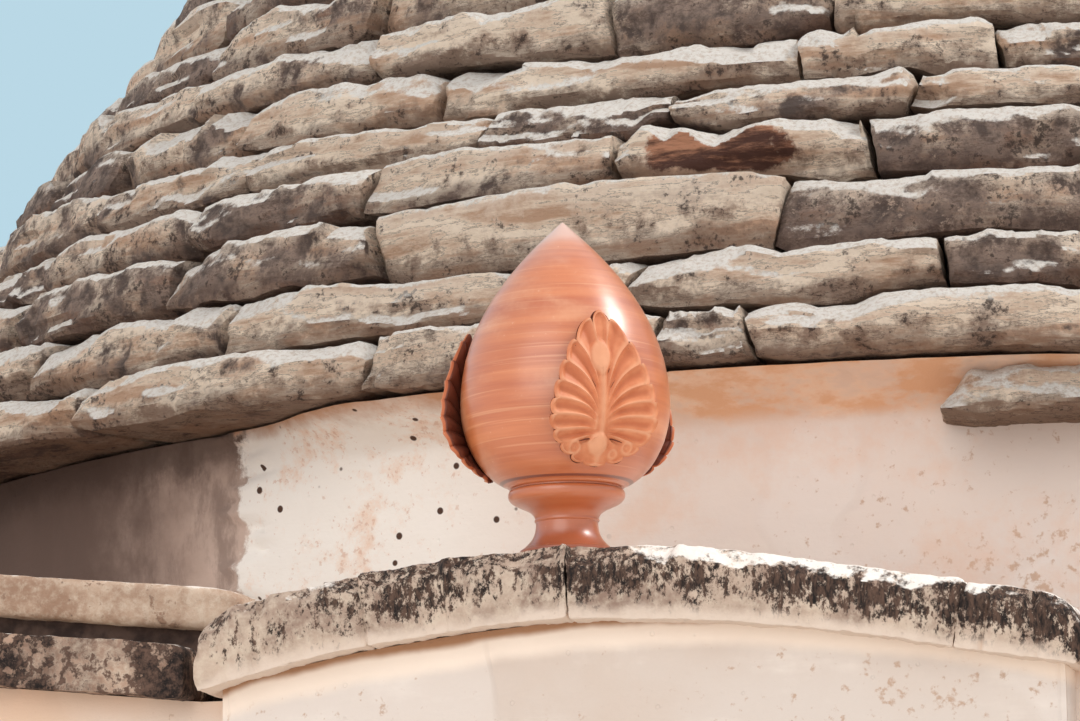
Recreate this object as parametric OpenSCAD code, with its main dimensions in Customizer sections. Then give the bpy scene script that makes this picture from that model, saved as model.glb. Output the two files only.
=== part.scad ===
// Roof of a trullo house: dry-laid limestone cone on a plastered drum, square wall head with
// cornice and gutter kerb, entrance gable with arched coping, and a terracotta finial on it.
// The front faces -Y, the bearing face of the walls lies at z = 0, lengths are in millimetres.

/* [Wall head] */
// Width of the ledge round the drum, from the drum to the face of the walls
ledge_w = 640; // [590:5:700]
// Radius of the round room
room_r = 1400; // [1300:10:1440]
// Height of the bed on which drum and vault stand
head_z = 420; // [330:5:425]

/* [Entrance gable] */
// Half width of the gable's masonry
gable_half = 510; // [420:5:560]
// How far the gable stands proud of the front wall
gable_proud = 50; // [20:1:90]
// Radius of the gable's arched top
arch_r = 2200; // [1800:10:3000]
// Height of the gable's masonry at its crest
crest_z = 502; // [490:1:540]

/* [Coping] */
// Thickness of the coping slabs
coping_t = 88; // [60:1:110]
// How far the coping stands past the gable's sides
coping_side = 45; // [20:1:60]
// How far the coping stands past the gable's face
coping_lip = 45; // [20:1:80]
// Rounding of the coping's free top corners
coping_round = 60; // [30:1:70]
// Mortar joint between two coping slabs
coping_joint = 4; // [2:0.5:10]
// Where the coping's joints lie across the gable
coping_cuts = [-330, -72, 404];

/* [Cornice and kerb] */
// Thickness of the cornice slabs
cornice_t = 68; // [50:1:90]
// Depth of the cornice slabs from front to back
cornice_d = 400; // [300:5:440]
// How far the cornice stands past the walls
cornice_lip = 60; // [30:1:100]
// Fall of the front ledge from the corners to the gable
ledge_fall = 215; // [100:5:240]
// Rounding of the cornice's nose
cornice_nose = 14; // [4:1:24]
// Thickness of the gutter kerb's slabs
kerb_t = 54; // [40:1:80]
// Width of the gutter kerb
kerb_w = 180; // [120:5:220]
// How far the kerb is set back behind the cornice's nose
kerb_back = 120; // [80:5:160]
// Height of the mortar bed under the kerb
kerb_bed = 28; // [10:1:40]
// How far the mortar bed is recessed under the kerb
bed_recess = 22; // [10:1:40]
// Rounding of the kerb's edges
kerb_round = 18; // [6:1:24]
// How far the kerb's free ends reach in over the coping
kerb_reach = 25; // [0:1:28]

/* [Drum and vault] */
// Height of the drum above its bed
drum_h = 480; // [430:5:600]
// How far the lowest roof course stands past the drum
eaves_out = 160; // [100:5:200]
// How far the mortar fillet under the eaves reaches out from the drum
fillet_out = 110; // [40:5:140]
// Height of the mortar fillet under the eaves
fillet_h = 60; // [30:5:90]
// Thickness of the corbelled vault
vault_t = 160; // [120:5:220]
// Radius of the hole that the vault's closing slab covers
eye_r = 168; // [120:1:200]
// Thickness of the closing slab
closing_t = 80; // [50:1:110]

/* [Roof cone] */
// Radius of the lowest course
eaves_r = 2020; // [1900:10:2100]
// Height of one course
course_h = 90; // [80:1:96]
// Slope of the cone
slope = 53.65; // [51:0.05:56]
// How far the face of a course leans back over its height
batter = 24; // [0:1:40]
// Depth of the courses from their face to the vault
course_depth = 300; // [260:5:360]
// Segments in each ring of the vault and each band of the roof
segments = 12; // [8:4:16]

/* [Pinnacle] */
// Radius of the cap slab
cap_r = 250; // [225:1:290]
// Thickness of the cap slab
cap_t = 70; // [50:1:100]
// Radius of the plaster cone at its foot
pin_r = 185; // [140:1:210]
// Radius of the plaster cone at its top
pin_top_r = 70; // [50:1:90]
// Height of the plaster cone
pin_h = 190; // [150:1:260]
// Radius of the pinnacle's disc
disc_r = 130; // [100:1:160]
// Thickness of the pinnacle's disc
disc_t = 45; // [30:1:60]
// Radius of the pinnacle's ball
ball_r = 95; // [80:1:110]

/* [Terracotta finial] */
// Place of the finial across the gable
pumo_x = -100; // [-200:5:200]
// How far the finial's axis lies behind the coping's front edge
pumo_back = 125; // [110:1:200]
// Radius of the foot
foot_r = 57; // [50:1:66]
// Height of the foot's square edge
foot_edge = 7; // [4:0.5:12]
// Radius of the neck
neck_r = 37.5; // [30:0.5:44]
// Height of the neck above the foot's underside
neck_z = 42; // [34:1:46]
// Radius of the collar
collar_r = 70.5; // [64:0.5:76]
// Height of the collar's top
collar_z = 80; // [74:1:88]
// Height of the collar's upright edge
collar_edge = 10; // [6:0.5:14]
// Depth of the groove between collar and bulb
groove_d = 4; // [2:0.5:7]
// Largest radius of the bulb
bulb_r = 126.7; // [118:0.1:136]
// Height of the bulb's largest radius
bulb_z = 183; // [170:1:196]
// Height of the finial's tip
tip_z = 410; // [390:1:440]

/* [Leaves] */
// Direction of the front leaf, turned from the front to the right
leaf_turn = 35; // [0:1:60]
// Angle from the front leaf to the leaves at its sides
leaf_spread = 125; // [112:1:130]
// Half width of a leaf at its widest place
leaf_half = 69; // [60:1:74]
// Height of a leaf's widest place on the finial
leaf_z = 152; // [146:1:160]
// Reach of a leaf above its widest place
leaf_up = 129; // [115:1:136]
// Reach of a leaf below its widest place
leaf_down = 58; // [50:1:62]
// Fullness of a leaf's upper half, from 1 for straight sides to 2 for an oval
leaf_full = 1.5; // [1.3:0.05:2]
// Lobes around a leaf's edge
leaf_lobes = 16; // [12:2:20]
// Depth of the notches between lobes, as a share of the leaf
notch = 0.10; // [0.04:0.01:0.16]
// Thickness of a leaf
leaf_t = 6.5; // [5:0.1:9]
// Height of the ridges between the leaf's flutes
ridge_h = 4; // [2:0.1:6]
// How far a leaf's sides lift off its middle
leaf_lift = 5; // [0:0.5:8]
// How far a leaf's upper end stands off
leaf_curl = 9; // [0:0.5:14]

/* [Hidden] */
$fn = 128;
// Working clearance between curved pieces that are bedded on each other
fit = 0.5;
// Length of the solids that cut others
past = 10;
// Dry joint between two segments of a ring
hair_joint = 0.6;

drum_r = eaves_r - eaves_out;
half_w = drum_r + ledge_w;
coping_half = gable_half + coping_side;
arch_z = crest_z - arch_r;
function arch_at(r, x) = arch_z + sqrt(r*r - x*x);
coping_r = arch_r + coping_t;
cornice_z = arch_at(arch_r, coping_half) - fit;
ledge_slope = ledge_fall/(half_w - coping_half);
function ledge_at(x) = cornice_z + (abs(x) - coping_half)*ledge_slope;
side_z = ledge_at(half_w);
nose_y = half_w + cornice_lip;
gable_y = half_w + gable_proud;
lip_y = gable_y + coping_lip;
cornice_back = nose_y - cornice_d;
// Square bay around the room that the plain wall blocks keep clear
bay = room_r*sqrt(0.5) - past;

eaves_z = head_z + drum_h;
setback = course_h/tan(slope);
shell_r = eaves_r - course_depth;
function shell_at(z) = shell_r - max(0, z - eaves_z)/tan(slope);
function corbel_at(n) = min(room_r, shell_r - vault_t - (n + 1)*setback);
eye_course = round((shell_r - vault_t - eye_r)/setback);
foot_courses = 2;
vault_tops = [for (n = [0:3]) round(foot_courses + n*(eye_course - foot_courses)/3)];
eye_z = eaves_z + eye_course*course_h;
closing_r = shell_at(eye_z + closing_t) - fit;
band_courses = round((eaves_r - cap_r)/setback/4);
roof_z = eaves_z + 4*band_courses*course_h;
cap_z = roof_z + cap_t;
disc_z = cap_z + pin_h;
ball_z = disc_z + disc_t;
ball_sink = 6;

finial_y = -(lip_y - pumo_back);
finial_z = arch_at(coping_r, max(0, abs(pumo_x) - foot_r)) + 0.3;

// A cubic curve through its two end points, drawn by its two handles
function curve(a, b, c, d, n) = [for (i = [0:n]) let (t = i/n, s = 1 - t)
    s*s*s*a + 3*s*s*t*b + 3*s*t*t*c + t*t*t*d];

foot_profile = concat(
    [[0, 0], [foot_r, 0], [foot_r, foot_edge]],
    curve([foot_r - 3, foot_edge + 2], [foot_r - 15, foot_edge + 12], [neck_r, neck_z - 16],
          [neck_r, neck_z], 7),
    [[neck_r + 1.8, neck_z + 1], [neck_r + 1.2, neck_z + 3]],
    curve([neck_r + 1, neck_z + 4], [neck_r + 8, neck_z + 17], [collar_r - 2, neck_z + 14],
          [collar_r, collar_z - collar_edge], 8),
    [[collar_r, collar_z - 3], [collar_r - 2, collar_z], [0, collar_z]]);

bulb_low = [collar_r, collar_z + 4];
bulb_side = [bulb_r, bulb_z];
bulb_tip = [0, tip_z];
bulb_under = curve(bulb_low, [collar_r + 33, collar_z + 16], [bulb_r, bulb_z - 43], bulb_side, 12);
bulb_over = curve(bulb_side, [bulb_r, bulb_z + 96], [68, tip_z - 60], bulb_tip, 22);
bulb_profile = concat(
    [[0, collar_z + fit], [collar_r - groove_d, collar_z + fit], [collar_r - groove_d, collar_z + 3]],
    bulb_under, [for (i = [1:len(bulb_over) - 1]) bulb_over[i]]);

// Radius of the bulb at a height, from the curve that draws it
bulb_line = concat(bulb_under, [for (i = [1:len(bulb_over) - 1]) bulb_over[i]]);
function bulb_at(z) = lookup(z, [for (p = bulb_line) [p[1], p[0]]]);

// One leaf is a net about its widest place: rings from the middle out, rays around
leaf_rays = 4*leaf_lobes;
leaf_rings = 5;
leaf_seat = 0.4;
rib_h = 3;
rib_w = 9;
function lobe(a) = abs(cos(leaf_lobes*(a - 90)/2));
function grown(c, p) = sign(c)*pow(abs(c), p);
function leaf_rim(a) = let (up = sin(a) > 0, p = up ? 2/leaf_full : 1)
    (1 - notch*(1 - lobe(a)))*[leaf_half*grown(cos(a), p), (up ? leaf_up : leaf_down)*grown(sin(a), p)];
function leaf_back(u, v) = bulb_at(leaf_z + v) + leaf_seat + leaf_lift*pow(u/leaf_half, 2)
    + leaf_curl*pow(max(0, v)/leaf_up, 3);
function leaf_relief(u, a, t) = ridge_h*(1 - lobe(a))*sin(180*pow(t, 0.8))
    + rib_h*exp(-pow(u/rib_w, 2))*(1 - t);
function leaf_point(a, t, face) = let (
        u = t*leaf_rim(a)[0], v = t*leaf_rim(a)[1],
        edge = t == 1 ? 0.75 : 1,
        out = leaf_back(u, v) + face*(leaf_t*edge + leaf_relief(u, a, t)))
    [u, -out, leaf_z + v];
leaf_points = concat(
    [leaf_point(0, 0, 1)],
    [for (k = [1:leaf_rings], i = [0:leaf_rays - 1]) leaf_point(360*i/leaf_rays, k/leaf_rings, 1)],
    [leaf_point(0, 0, 0)],
    [for (k = [1:leaf_rings], i = [0:leaf_rays - 1]) leaf_point(360*i/leaf_rays, k/leaf_rings, 0)]);
leaf_side = 1 + leaf_rings*leaf_rays;
function spot(s, k, i) = s*leaf_side + (k == 0 ? 0 : 1 + (k - 1)*leaf_rays + i%leaf_rays);
leaf_faces = concat(
    [for (i = [0:leaf_rays - 1]) [spot(0, 0, 0), spot(0, 1, i + 1), spot(0, 1, i)]],
    [for (k = [1:leaf_rings - 1], i = [0:leaf_rays - 1], h = [0, 1])
        h == 0 ? [spot(0, k, i), spot(0, k, i + 1), spot(0, k + 1, i + 1)]
               : [spot(0, k, i), spot(0, k + 1, i + 1), spot(0, k + 1, i)]],
    [for (i = [0:leaf_rays - 1]) [spot(1, 0, 0), spot(1, 1, i), spot(1, 1, i + 1)]],
    [for (k = [1:leaf_rings - 1], i = [0:leaf_rays - 1], h = [0, 1])
        h == 0 ? [spot(1, k, i), spot(1, k + 1, i + 1), spot(1, k, i + 1)]
               : [spot(1, k, i), spot(1, k + 1, i), spot(1, k + 1, i + 1)]],
    [for (i = [0:leaf_rays - 1], h = [0, 1])
        h == 0 ? [spot(0, leaf_rings, i), spot(0, leaf_rings, i + 1), spot(1, leaf_rings, i + 1)]
               : [spot(0, leaf_rings, i), spot(1, leaf_rings, i + 1), spot(1, leaf_rings, i)]]);

// The footprint's centre lies midway between the foremost point and the rear nose
leaf_front_reach = max([for (a = [leaf_turn, leaf_turn + leaf_spread, leaf_turn - leaf_spread],
    p = leaf_points) -(sin(a)*p[0] + cos(a)*p[1])]);
front_reach = max(lip_y, -finial_y + leaf_front_reach);
axis_y = (front_reach - nose_y)/2;

module place() translate([0, axis_y, 0]) children();

// Everything inside the drum's outer face above its bed, and the room below
module hollow() {
    translate([0, 0, head_z]) cylinder(r = drum_r + fit, h = eaves_z, $fn = 256);
    translate([0, 0, -past]) cylinder(r = room_r, h = eaves_z, $fn = 256);
}

module arch_face(r, w) intersection() {
    translate([0, arch_z]) circle(r, $fn = 256);
    translate([-w, 0]) square([2*w, coping_r]);
}

// Front half wall, seen from the front: its top follows the falling ledge
module ledge_face(to, rise) polygon([
    [gable_half, 0], [to, 0], [to, ledge_at(to) + rise], [gable_half, ledge_at(gable_half) + rise]]);

module front_block() difference() {
    union() {
        translate([0, -bay, 0]) rotate([90, 0, 0])
            linear_extrude(half_w - bay) ledge_face(half_w, 0);
        translate([0, -bay, 0]) rotate([90, 0, 0])
            linear_extrude(cornice_back - bay) ledge_face(cornice_back, cornice_t);
        translate([cornice_back - past, -cornice_back, 0])
            cube([half_w - cornice_back + past, cornice_back - bay, side_z]);
    }
    hollow();
}

module side_block() difference() {
    union() {
        translate([bay, -bay, 0]) cube([half_w - bay, 2*bay, side_z]);
        translate([bay, -bay, 0]) cube([cornice_back - bay, 2*bay, side_z + cornice_t]);
    }
    hollow();
}

module wall_gable() color("#e3d5c0") place() difference() {
    translate([0, -bay, 0]) rotate([90, 0, 0])
        linear_extrude(gable_y - bay) arch_face(arch_r, gable_half);
    hollow();
}
module wall_front_right() color("#e3d5c0") place() front_block();
module wall_front_left() color("#e3d5c0") place() mirror([1, 0, 0]) front_block();
module wall_right() color("#e3d5c0") place() side_block();
module wall_left() color("#e3d5c0") place() mirror([1, 0, 0]) side_block();
module wall_back() color("#e3d5c0") place() difference() {
    union() {
        translate([-half_w, bay, 0]) cube([2*half_w, half_w - bay, side_z]);
        translate([-cornice_back, bay, 0])
            cube([2*cornice_back, cornice_back - bay, side_z + cornice_t]);
    }
    hollow();
}

// Cross-section of a cornice slab, nose towards -X, with its underside at zero
module cornice_section() {
    translate([0, cornice_nose]) square([cornice_d, cornice_t - 2*cornice_nose]);
    translate([cornice_nose, 0]) square([cornice_d - cornice_nose, cornice_t]);
    for (h = [cornice_nose, cornice_t - cornice_nose])
        translate([cornice_nose, h]) circle(cornice_nose);
}

// Cross-section of the kerb: a rounded slab on its recessed mortar bed
module kerb_section() {
    translate([bed_recess, 0]) square([kerb_w - 2*bed_recess, kerb_bed + kerb_round]);
    translate([kerb_round, kerb_bed]) square([kerb_w - 2*kerb_round, kerb_t]);
    translate([0, kerb_bed + kerb_round]) square([kerb_w, kerb_t - 2*kerb_round]);
    for (x = [kerb_round, kerb_w - kerb_round], h = [kerb_round, kerb_t - kerb_round])
        translate([x, kerb_bed + h]) circle(kerb_round);
}

// Lays a cross-section along the front ledge, from the gable to the corner of the walls
module along_front(from, to, rise) multmatrix([
        [1, 0, 0, 0], [0, 1, 0, 0], [ledge_slope, 0, 1, ledge_at(0) + rise], [0, 0, 0, 1]])
    translate([from, -nose_y, 0]) rotate([90, 0, 90]) linear_extrude(to - from) children();

module along_side(from, to, rise) translate([nose_y, to, side_z + rise])
    rotate([90, 0, 0]) mirror([1, 0, 0]) linear_extrude(to - from) children();

module front_cornice() along_front(coping_half + fit, nose_y, 0) cornice_section();
module side_cornice() difference() {
    along_side(-nose_y, nose_y, 0) cornice_section();
    translate([0, -nose_y - past, 0]) cube([nose_y + past, cornice_d + past, 2*side_z]);
    translate([0, cornice_back, 0]) cube([nose_y + past, cornice_d + past, 2*side_z]);
}

module cornice_front_right() color("#8d8172") place() front_cornice();
module cornice_front_left() color("#8d8172") place() mirror([1, 0, 0]) front_cornice();
module cornice_right() color("#8d8172") place() side_cornice();
module cornice_left() color("#8d8172") place() mirror([1, 0, 0]) side_cornice();
module cornice_back() color("#8d8172") place() rotate(90)
    along_side(-nose_y, nose_y, 0) cornice_section();

kerb_y = nose_y - kerb_back;
module front_kerb() difference() {
    translate([0, kerb_back, 0])
        along_front(coping_half - kerb_reach, kerb_y, cornice_t) kerb_section();
    translate([0, -nose_y, 0])
        cube([coping_half + fit, cornice_d, ledge_at(coping_half) + cornice_t + kerb_bed]);
}
module side_kerb() translate([-kerb_back, 0, 0])
    along_side(-kerb_y + kerb_w, kerb_y - kerb_w, cornice_t) kerb_section();

module kerb_front_right() color("#d9c6ae") place() front_kerb();
module kerb_front_left() color("#d9c6ae") place() mirror([1, 0, 0]) front_kerb();
module kerb_right() color("#d9c6ae") place() side_kerb();
module kerb_left() color("#d9c6ae") place() mirror([1, 0, 0]) side_kerb();
module kerb_back() color("#d9c6ae") place() rotate(90) translate([-kerb_back, 0, 0])
    along_side(-kerb_y, kerb_y, cornice_t) kerb_section();

// Front view of the coping between two joints: cuts run to the arch's centre
end_round = min(coping_round, coping_t - 15);
end_centre = [coping_half - end_round,
    sqrt(pow(coping_r - end_round, 2) - pow(coping_half - end_round, 2))];
module coping_face(x0, x1) intersection() {
    difference() {
        arch_face(coping_r, coping_half);
        translate([0, arch_z]) circle(arch_r, $fn = 256);
        for (s = [-1, 1]) translate([0, arch_z]) scale([s, 1]) translate(end_centre) difference() {
            polygon([[0, 0], [2, 0]*end_round, [2, 2]*end_round, end_centre/coping_r*2*end_round]);
            circle(end_round);
        }
    }
    translate([0, arch_z]) polygon([[0, 0], [x0, arch_r]*1.5, [x1, arch_r]*1.5]);
}

module coping_slab(x0, x1) color("#b5a794") place() translate([0, -cornice_back, 0])
    rotate([90, 0, 0]) linear_extrude(lip_y - cornice_back) coping_face(x0, x1);

module coping_end_left() coping_slab(-2*coping_half, coping_cuts[0] - coping_joint/2);
module coping_left() coping_slab(coping_cuts[0] + coping_joint/2, coping_cuts[1] - coping_joint/2);
module coping_right() coping_slab(coping_cuts[1] + coping_joint/2, coping_cuts[2] - coping_joint/2);
module coping_end_right() coping_slab(coping_cuts[2] + coping_joint/2, 2*coping_half);

screed_drop = 15;
module gable_screed() color("#cdbfab") place() difference() {
    rotate([90, 0, 0]) linear_extrude(cornice_back) difference() {
        arch_face(coping_r - screed_drop, gable_half);
        translate([0, arch_z]) circle(arch_r, $fn = 256);
    }
    hollow();
}

module finial() place() translate([pumo_x, finial_y, finial_z]) children();
module finial_foot() color("#cf7a4c") finial() rotate_extrude() polygon(foot_profile);
module finial_bulb() color("#d98655") finial() rotate_extrude() polygon(bulb_profile);

module leaf(turn) color("#c9683c") finial() rotate(turn) polyhedron(leaf_points, leaf_faces);
module leaf_front() leaf(leaf_turn);
module leaf_right() leaf(leaf_turn + leaf_spread);
module leaf_left() leaf(leaf_turn - leaf_spread);

// A quarter of the drum, centred on a direction, with the mortar fillet that seals the eaves
module drum(turn) color("#e6d2b8") place() rotate(turn) translate([0, 0, head_z]) intersection() {
    difference() {
        union() {
            cylinder(r = drum_r, h = drum_h);
            translate([0, 0, drum_h - fillet_h])
                cylinder(r1 = drum_r, r2 = drum_r + min(fillet_out, eaves_out - past), h = fillet_h);
        }
        translate([0, 0, -past]) cylinder(r = shell_r, h = drum_h + 2*past);
    }
    linear_extrude(drum_h) polygon([[0, 0], [eaves_r, -eaves_r]*1.5, [-eaves_r, -eaves_r]*1.5]);
}
module drum_front() drum(0);
module drum_right() drum(90);
module drum_back() drum(180);
module drum_left() drum(270);

// Cuts a ring into segments that stand with a hairline joint between them
module in_segments() for (i = [0:segments - 1]) intersection() {
    children();
    rotate(i*360/segments) translate([hair_joint/2/sin(180/segments), 0, 0])
        linear_extrude(roof_z) polygon([[0, 0], [1, tan(180/segments)]*2*eaves_r,
            [1, -tan(180/segments)]*2*eaves_r]);
}

// A ring of the corbelled vault, stepped inwards course by course
module vault_ring(n) color("#cbbca3") place() in_segments() rotate_extrude()
    let (c0 = n == 0 ? 0 : vault_tops[n - 1], c1 = vault_tops[n],
         z0 = n == 0 ? head_z : eaves_z + c0*course_h, z1 = eaves_z + c1*course_h)
    polygon(concat(
        [[shell_at(z1) - fit, z1]],
        n == 0 ? [[shell_r - fit, eaves_z]] : [],
        [[shell_at(z0) - fit, z0]],
        n == 0 ? [[room_r, z0]] : [],
        [for (c = [c0:c1 - 1], h = [0, 1]) if (corbel_at(c) < room_r || h == 1)
            [corbel_at(c), eaves_z + (c + h)*course_h]]));
module vault_ring_1() vault_ring(0);
module vault_ring_2() vault_ring(1);
module vault_ring_3() vault_ring(2);
module vault_ring_4() vault_ring(3);
module closing_slab() color("#b9ab94") place() translate([0, 0, eye_z])
    cylinder(r = closing_r, h = closing_t);

// Section of a band of the roof's courses, solid above the vault's closing slab
module band_section(n)
    let (c0 = n*band_courses, c1 = c0 + band_courses, top = eye_z + closing_t,
         z0 = eaves_z + c0*course_h, z1 = eaves_z + c1*course_h)
    polygon(concat(
        [for (c = [c0:c1 - 1], h = [0, 1])
            [eaves_r - c*setback - h*batter, eaves_z + (c + h)*course_h]],
        z1 > top ? [[0, z1]] : [[shell_at(z1), z1]],
        z1 > top && z0 < top ? [[0, top], [shell_at(top), top]] : [],
        z0 < top ? [[shell_at(z0), z0]] : [[0, z0]]));
module course_band(n) place() in_segments() rotate_extrude() band_section(n);
module course_band_1() color("#c9bba3") course_band(0);
module course_band_2() color("#bdb09b") course_band(1);
module course_band_3() color("#b3a793") course_band(2);
module course_band_4() color("#a99e8c") place() rotate_extrude() band_section(3);

module cap_slab() color("#9d9385") place() translate([0, 0, roof_z]) cylinder(r = cap_r, h = cap_t);
module pinnacle_cone() color("#dcd2c0") place() translate([0, 0, cap_z])
    cylinder(r1 = pin_r, r2 = pin_top_r, h = pin_h);
module pinnacle_disc() color("#dcd2c0") place() translate([0, 0, disc_z])
    cylinder(r = disc_r, h = disc_t);
module pinnacle_ball() color("#dcd2c0") place() translate([0, 0, ball_z]) intersection() {
    translate([0, 0, ball_r - ball_sink]) sphere(ball_r);
    cylinder(r = 2*ball_r, h = 3*ball_r);
}

wall_gable();
wall_front_left();
wall_front_right();
wall_left();
wall_right();
wall_back();
cornice_front_left();
cornice_front_right();
cornice_left();
cornice_right();
cornice_back();
kerb_front_left();
kerb_front_right();
kerb_left();
kerb_right();
kerb_back();
coping_end_left();
coping_left();
coping_right();
coping_end_right();
gable_screed();
finial_foot();
finial_bulb();
leaf_front();
leaf_right();
leaf_left();
drum_front();
drum_right();
drum_back();
drum_left();
vault_ring_1();
vault_ring_2();
vault_ring_3();
vault_ring_4();
closing_slab();
course_band_1();
course_band_2();
course_band_3();
course_band_4();
cap_slab();
pinnacle_cone();
pinnacle_disc();
pinnacle_ball();
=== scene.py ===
# The roof front of a trullo: dry-laid limestone cone, plastered drum, wall head with cornice and
# gutter kerb, entrance gable with an arched coping, and the terracotta finial that stands on it.
# Lengths are in metres, the front faces -Y and the walls rest on z = 0.
import math
import random

import bpy
import numpy as np
from mathutils import Matrix, Vector


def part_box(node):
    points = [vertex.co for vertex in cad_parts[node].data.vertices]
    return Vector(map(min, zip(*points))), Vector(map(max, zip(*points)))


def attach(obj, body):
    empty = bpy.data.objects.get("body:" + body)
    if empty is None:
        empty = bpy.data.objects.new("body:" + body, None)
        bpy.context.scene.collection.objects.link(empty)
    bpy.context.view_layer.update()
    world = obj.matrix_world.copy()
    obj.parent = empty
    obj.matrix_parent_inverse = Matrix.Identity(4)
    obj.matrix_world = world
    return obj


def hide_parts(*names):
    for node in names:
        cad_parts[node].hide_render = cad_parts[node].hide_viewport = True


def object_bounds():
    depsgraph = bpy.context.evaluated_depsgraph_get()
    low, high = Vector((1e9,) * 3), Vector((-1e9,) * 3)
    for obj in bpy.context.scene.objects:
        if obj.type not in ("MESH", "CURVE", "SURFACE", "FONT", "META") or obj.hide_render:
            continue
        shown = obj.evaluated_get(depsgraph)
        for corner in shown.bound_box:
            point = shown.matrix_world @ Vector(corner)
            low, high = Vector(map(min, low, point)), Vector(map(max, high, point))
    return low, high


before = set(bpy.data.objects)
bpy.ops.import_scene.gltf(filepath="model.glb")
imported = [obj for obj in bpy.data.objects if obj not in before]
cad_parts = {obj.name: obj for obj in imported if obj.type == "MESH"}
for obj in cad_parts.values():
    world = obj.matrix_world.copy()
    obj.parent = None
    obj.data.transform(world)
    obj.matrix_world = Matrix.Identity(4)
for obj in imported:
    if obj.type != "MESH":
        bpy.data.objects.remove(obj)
cad_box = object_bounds()

# View and light
# The eye stands low in the lane, right of the gable, and looks up at the finial through a long
# lens. A soft sun stands high over the right of the roof and strikes only what faces up; the
# front lies in open shade, lit by an even pale surround and a weak broad lamp in front of it.
foot_low, foot_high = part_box("finial_foot")
finial_x = (foot_low.x + foot_high.x)/2
finial_y = (foot_low.y + foot_high.y)/2
finial_z = foot_low.z
eye_from_finial = Vector((1.514, -5.717, -0.803))
heading = math.radians(15.12)
climb = math.radians(10.0)
roll = math.radians(-0.85)
lens_mm = 165.57
film_mm = 36

gaze = Vector((-math.sin(heading)*math.cos(climb), math.cos(heading)*math.cos(climb), math.sin(climb)))
level = Vector((math.cos(heading), math.sin(heading), 0))
upright = level.cross(gaze)
eye_right = level*math.cos(roll) + upright*math.sin(roll)
eye_up = upright*math.cos(roll) - level*math.sin(roll)
camera_data = bpy.data.cameras.new("eye_in_the_lane")
camera_data.lens = lens_mm
camera_data.sensor_width = film_mm
camera_data.clip_end = 200
camera = bpy.data.objects.new("eye_in_the_lane", camera_data)
turn = Matrix((eye_right, eye_up, -gaze)).transposed().to_4x4()
camera.matrix_world = Matrix.Translation(Vector((finial_x, finial_y, finial_z)) + eye_from_finial) @ turn
bpy.context.scene.collection.objects.link(camera)
bpy.context.scene.camera = camera
bpy.context.scene.view_settings.view_transform = "Standard"

# Each lamp's strength, how many degrees of the sky it fills, and where it stands
for name, energy, spread, comes_from in (("sun_over_the_roof", 1.6, 14, (0.76, 0.2, 0.8)),
                                         ("broad_fill", 0.85, 50, (-0.2, -0.95, 0.45))):
    lamp_data = bpy.data.lights.new(name, "SUN")
    lamp_data.energy = energy
    lamp_data.angle = math.radians(spread)
    lamp_data.color = (1.0, 0.975, 0.94)
    lamp = bpy.data.objects.new(name, lamp_data)
    lamp.rotation_euler = Vector(comes_from).to_track_quat("Z", "Y").to_euler()
    bpy.context.scene.collection.objects.link(lamp)


class Tone:
    """A value or colour inside a material; arithmetic on values adds the Math nodes for it."""

    def __init__(self, tree, socket):
        self.tree = tree
        self.socket = socket

    def node(self, kind, settings, values, output=0):
        """Adds any node: its settings first, then the values or links of its sockets."""
        made = self.tree.nodes.new("ShaderNode" + kind)
        for name, setting in settings.items():
            setattr(made, name, setting)
        for name, value in values.items():
            if isinstance(value, Tone):
                self.tree.links.new(value.socket, made.inputs[name])
            else:
                made.inputs[name].default_value = value
        return Tone(self.tree, made.outputs[output])

    def math(self, operation, first, second=0.0):
        return self.node("Math", {"operation": operation}, {0: first, 1: second})

    def __add__(self, other):
        return self.math("ADD", self, other)

    __radd__ = __add__

    def __sub__(self, other):
        return self.math("SUBTRACT", self, other)

    def __rsub__(self, other):
        return self.math("SUBTRACT", other, self)

    def __mul__(self, other):
        return self.math("MULTIPLY", self, other)

    __rmul__ = __mul__

    def __abs__(self):
        return self.math("ABSOLUTE", self)

    def between(self, low, high):
        """0 below low, 1 above high and a smooth step from one to the other."""
        return self.node("MapRange", {"interpolation_type": "SMOOTHSTEP"},
                         {"Value": self, "From Min": low, "From Max": high})

    def blend(self, below, above):
        """The colour below where this value is 0 and the colour above where it is 1."""
        below, above = (paint(c) if isinstance(c, tuple) else c for c in (below, above))
        return self.node("Mix", {"data_type": "RGBA"}, {0: self, 6: below, 7: above}, 2)

    def under(self, *coats):
        """This colour under one coat after another, each with its cover, 0 to 1, and its colour."""
        colour = self
        for cover, tint in coats:
            colour = cover.blend(colour, tint)
        return colour

    def part(self, letter):
        """One coordinate of a vector."""
        return self.node("SeparateXYZ", {}, {0: self}, letter)

    def noise(self, scale, detail=4.0, roughness=0.55, stretch=(1, 1, 1)):
        """Cloudy noise round this point; a stretch below 1 draws the pattern out that way."""
        place = self.node("Mapping", {}, {"Vector": self, "Scale": stretch})
        return self.node("TexNoise", {}, {"Vector": place, "Scale": scale, "Detail": detail,
                                          "Roughness": roughness})

    def cells(self, scale):
        """Distance to the nearest of many scattered spots, for pits and holes."""
        return self.node("TexVoronoi", {}, {"Vector": self, "Scale": scale}, "Distance")


def paint(colour):
    """A colour as it is mixed on a screen, 0 to 255, turned into light."""
    return tuple(((c/255 + 0.055)/1.055)**2.4 if c > 10 else c/255/12.92 for c in colour) + (1.0,)


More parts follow.
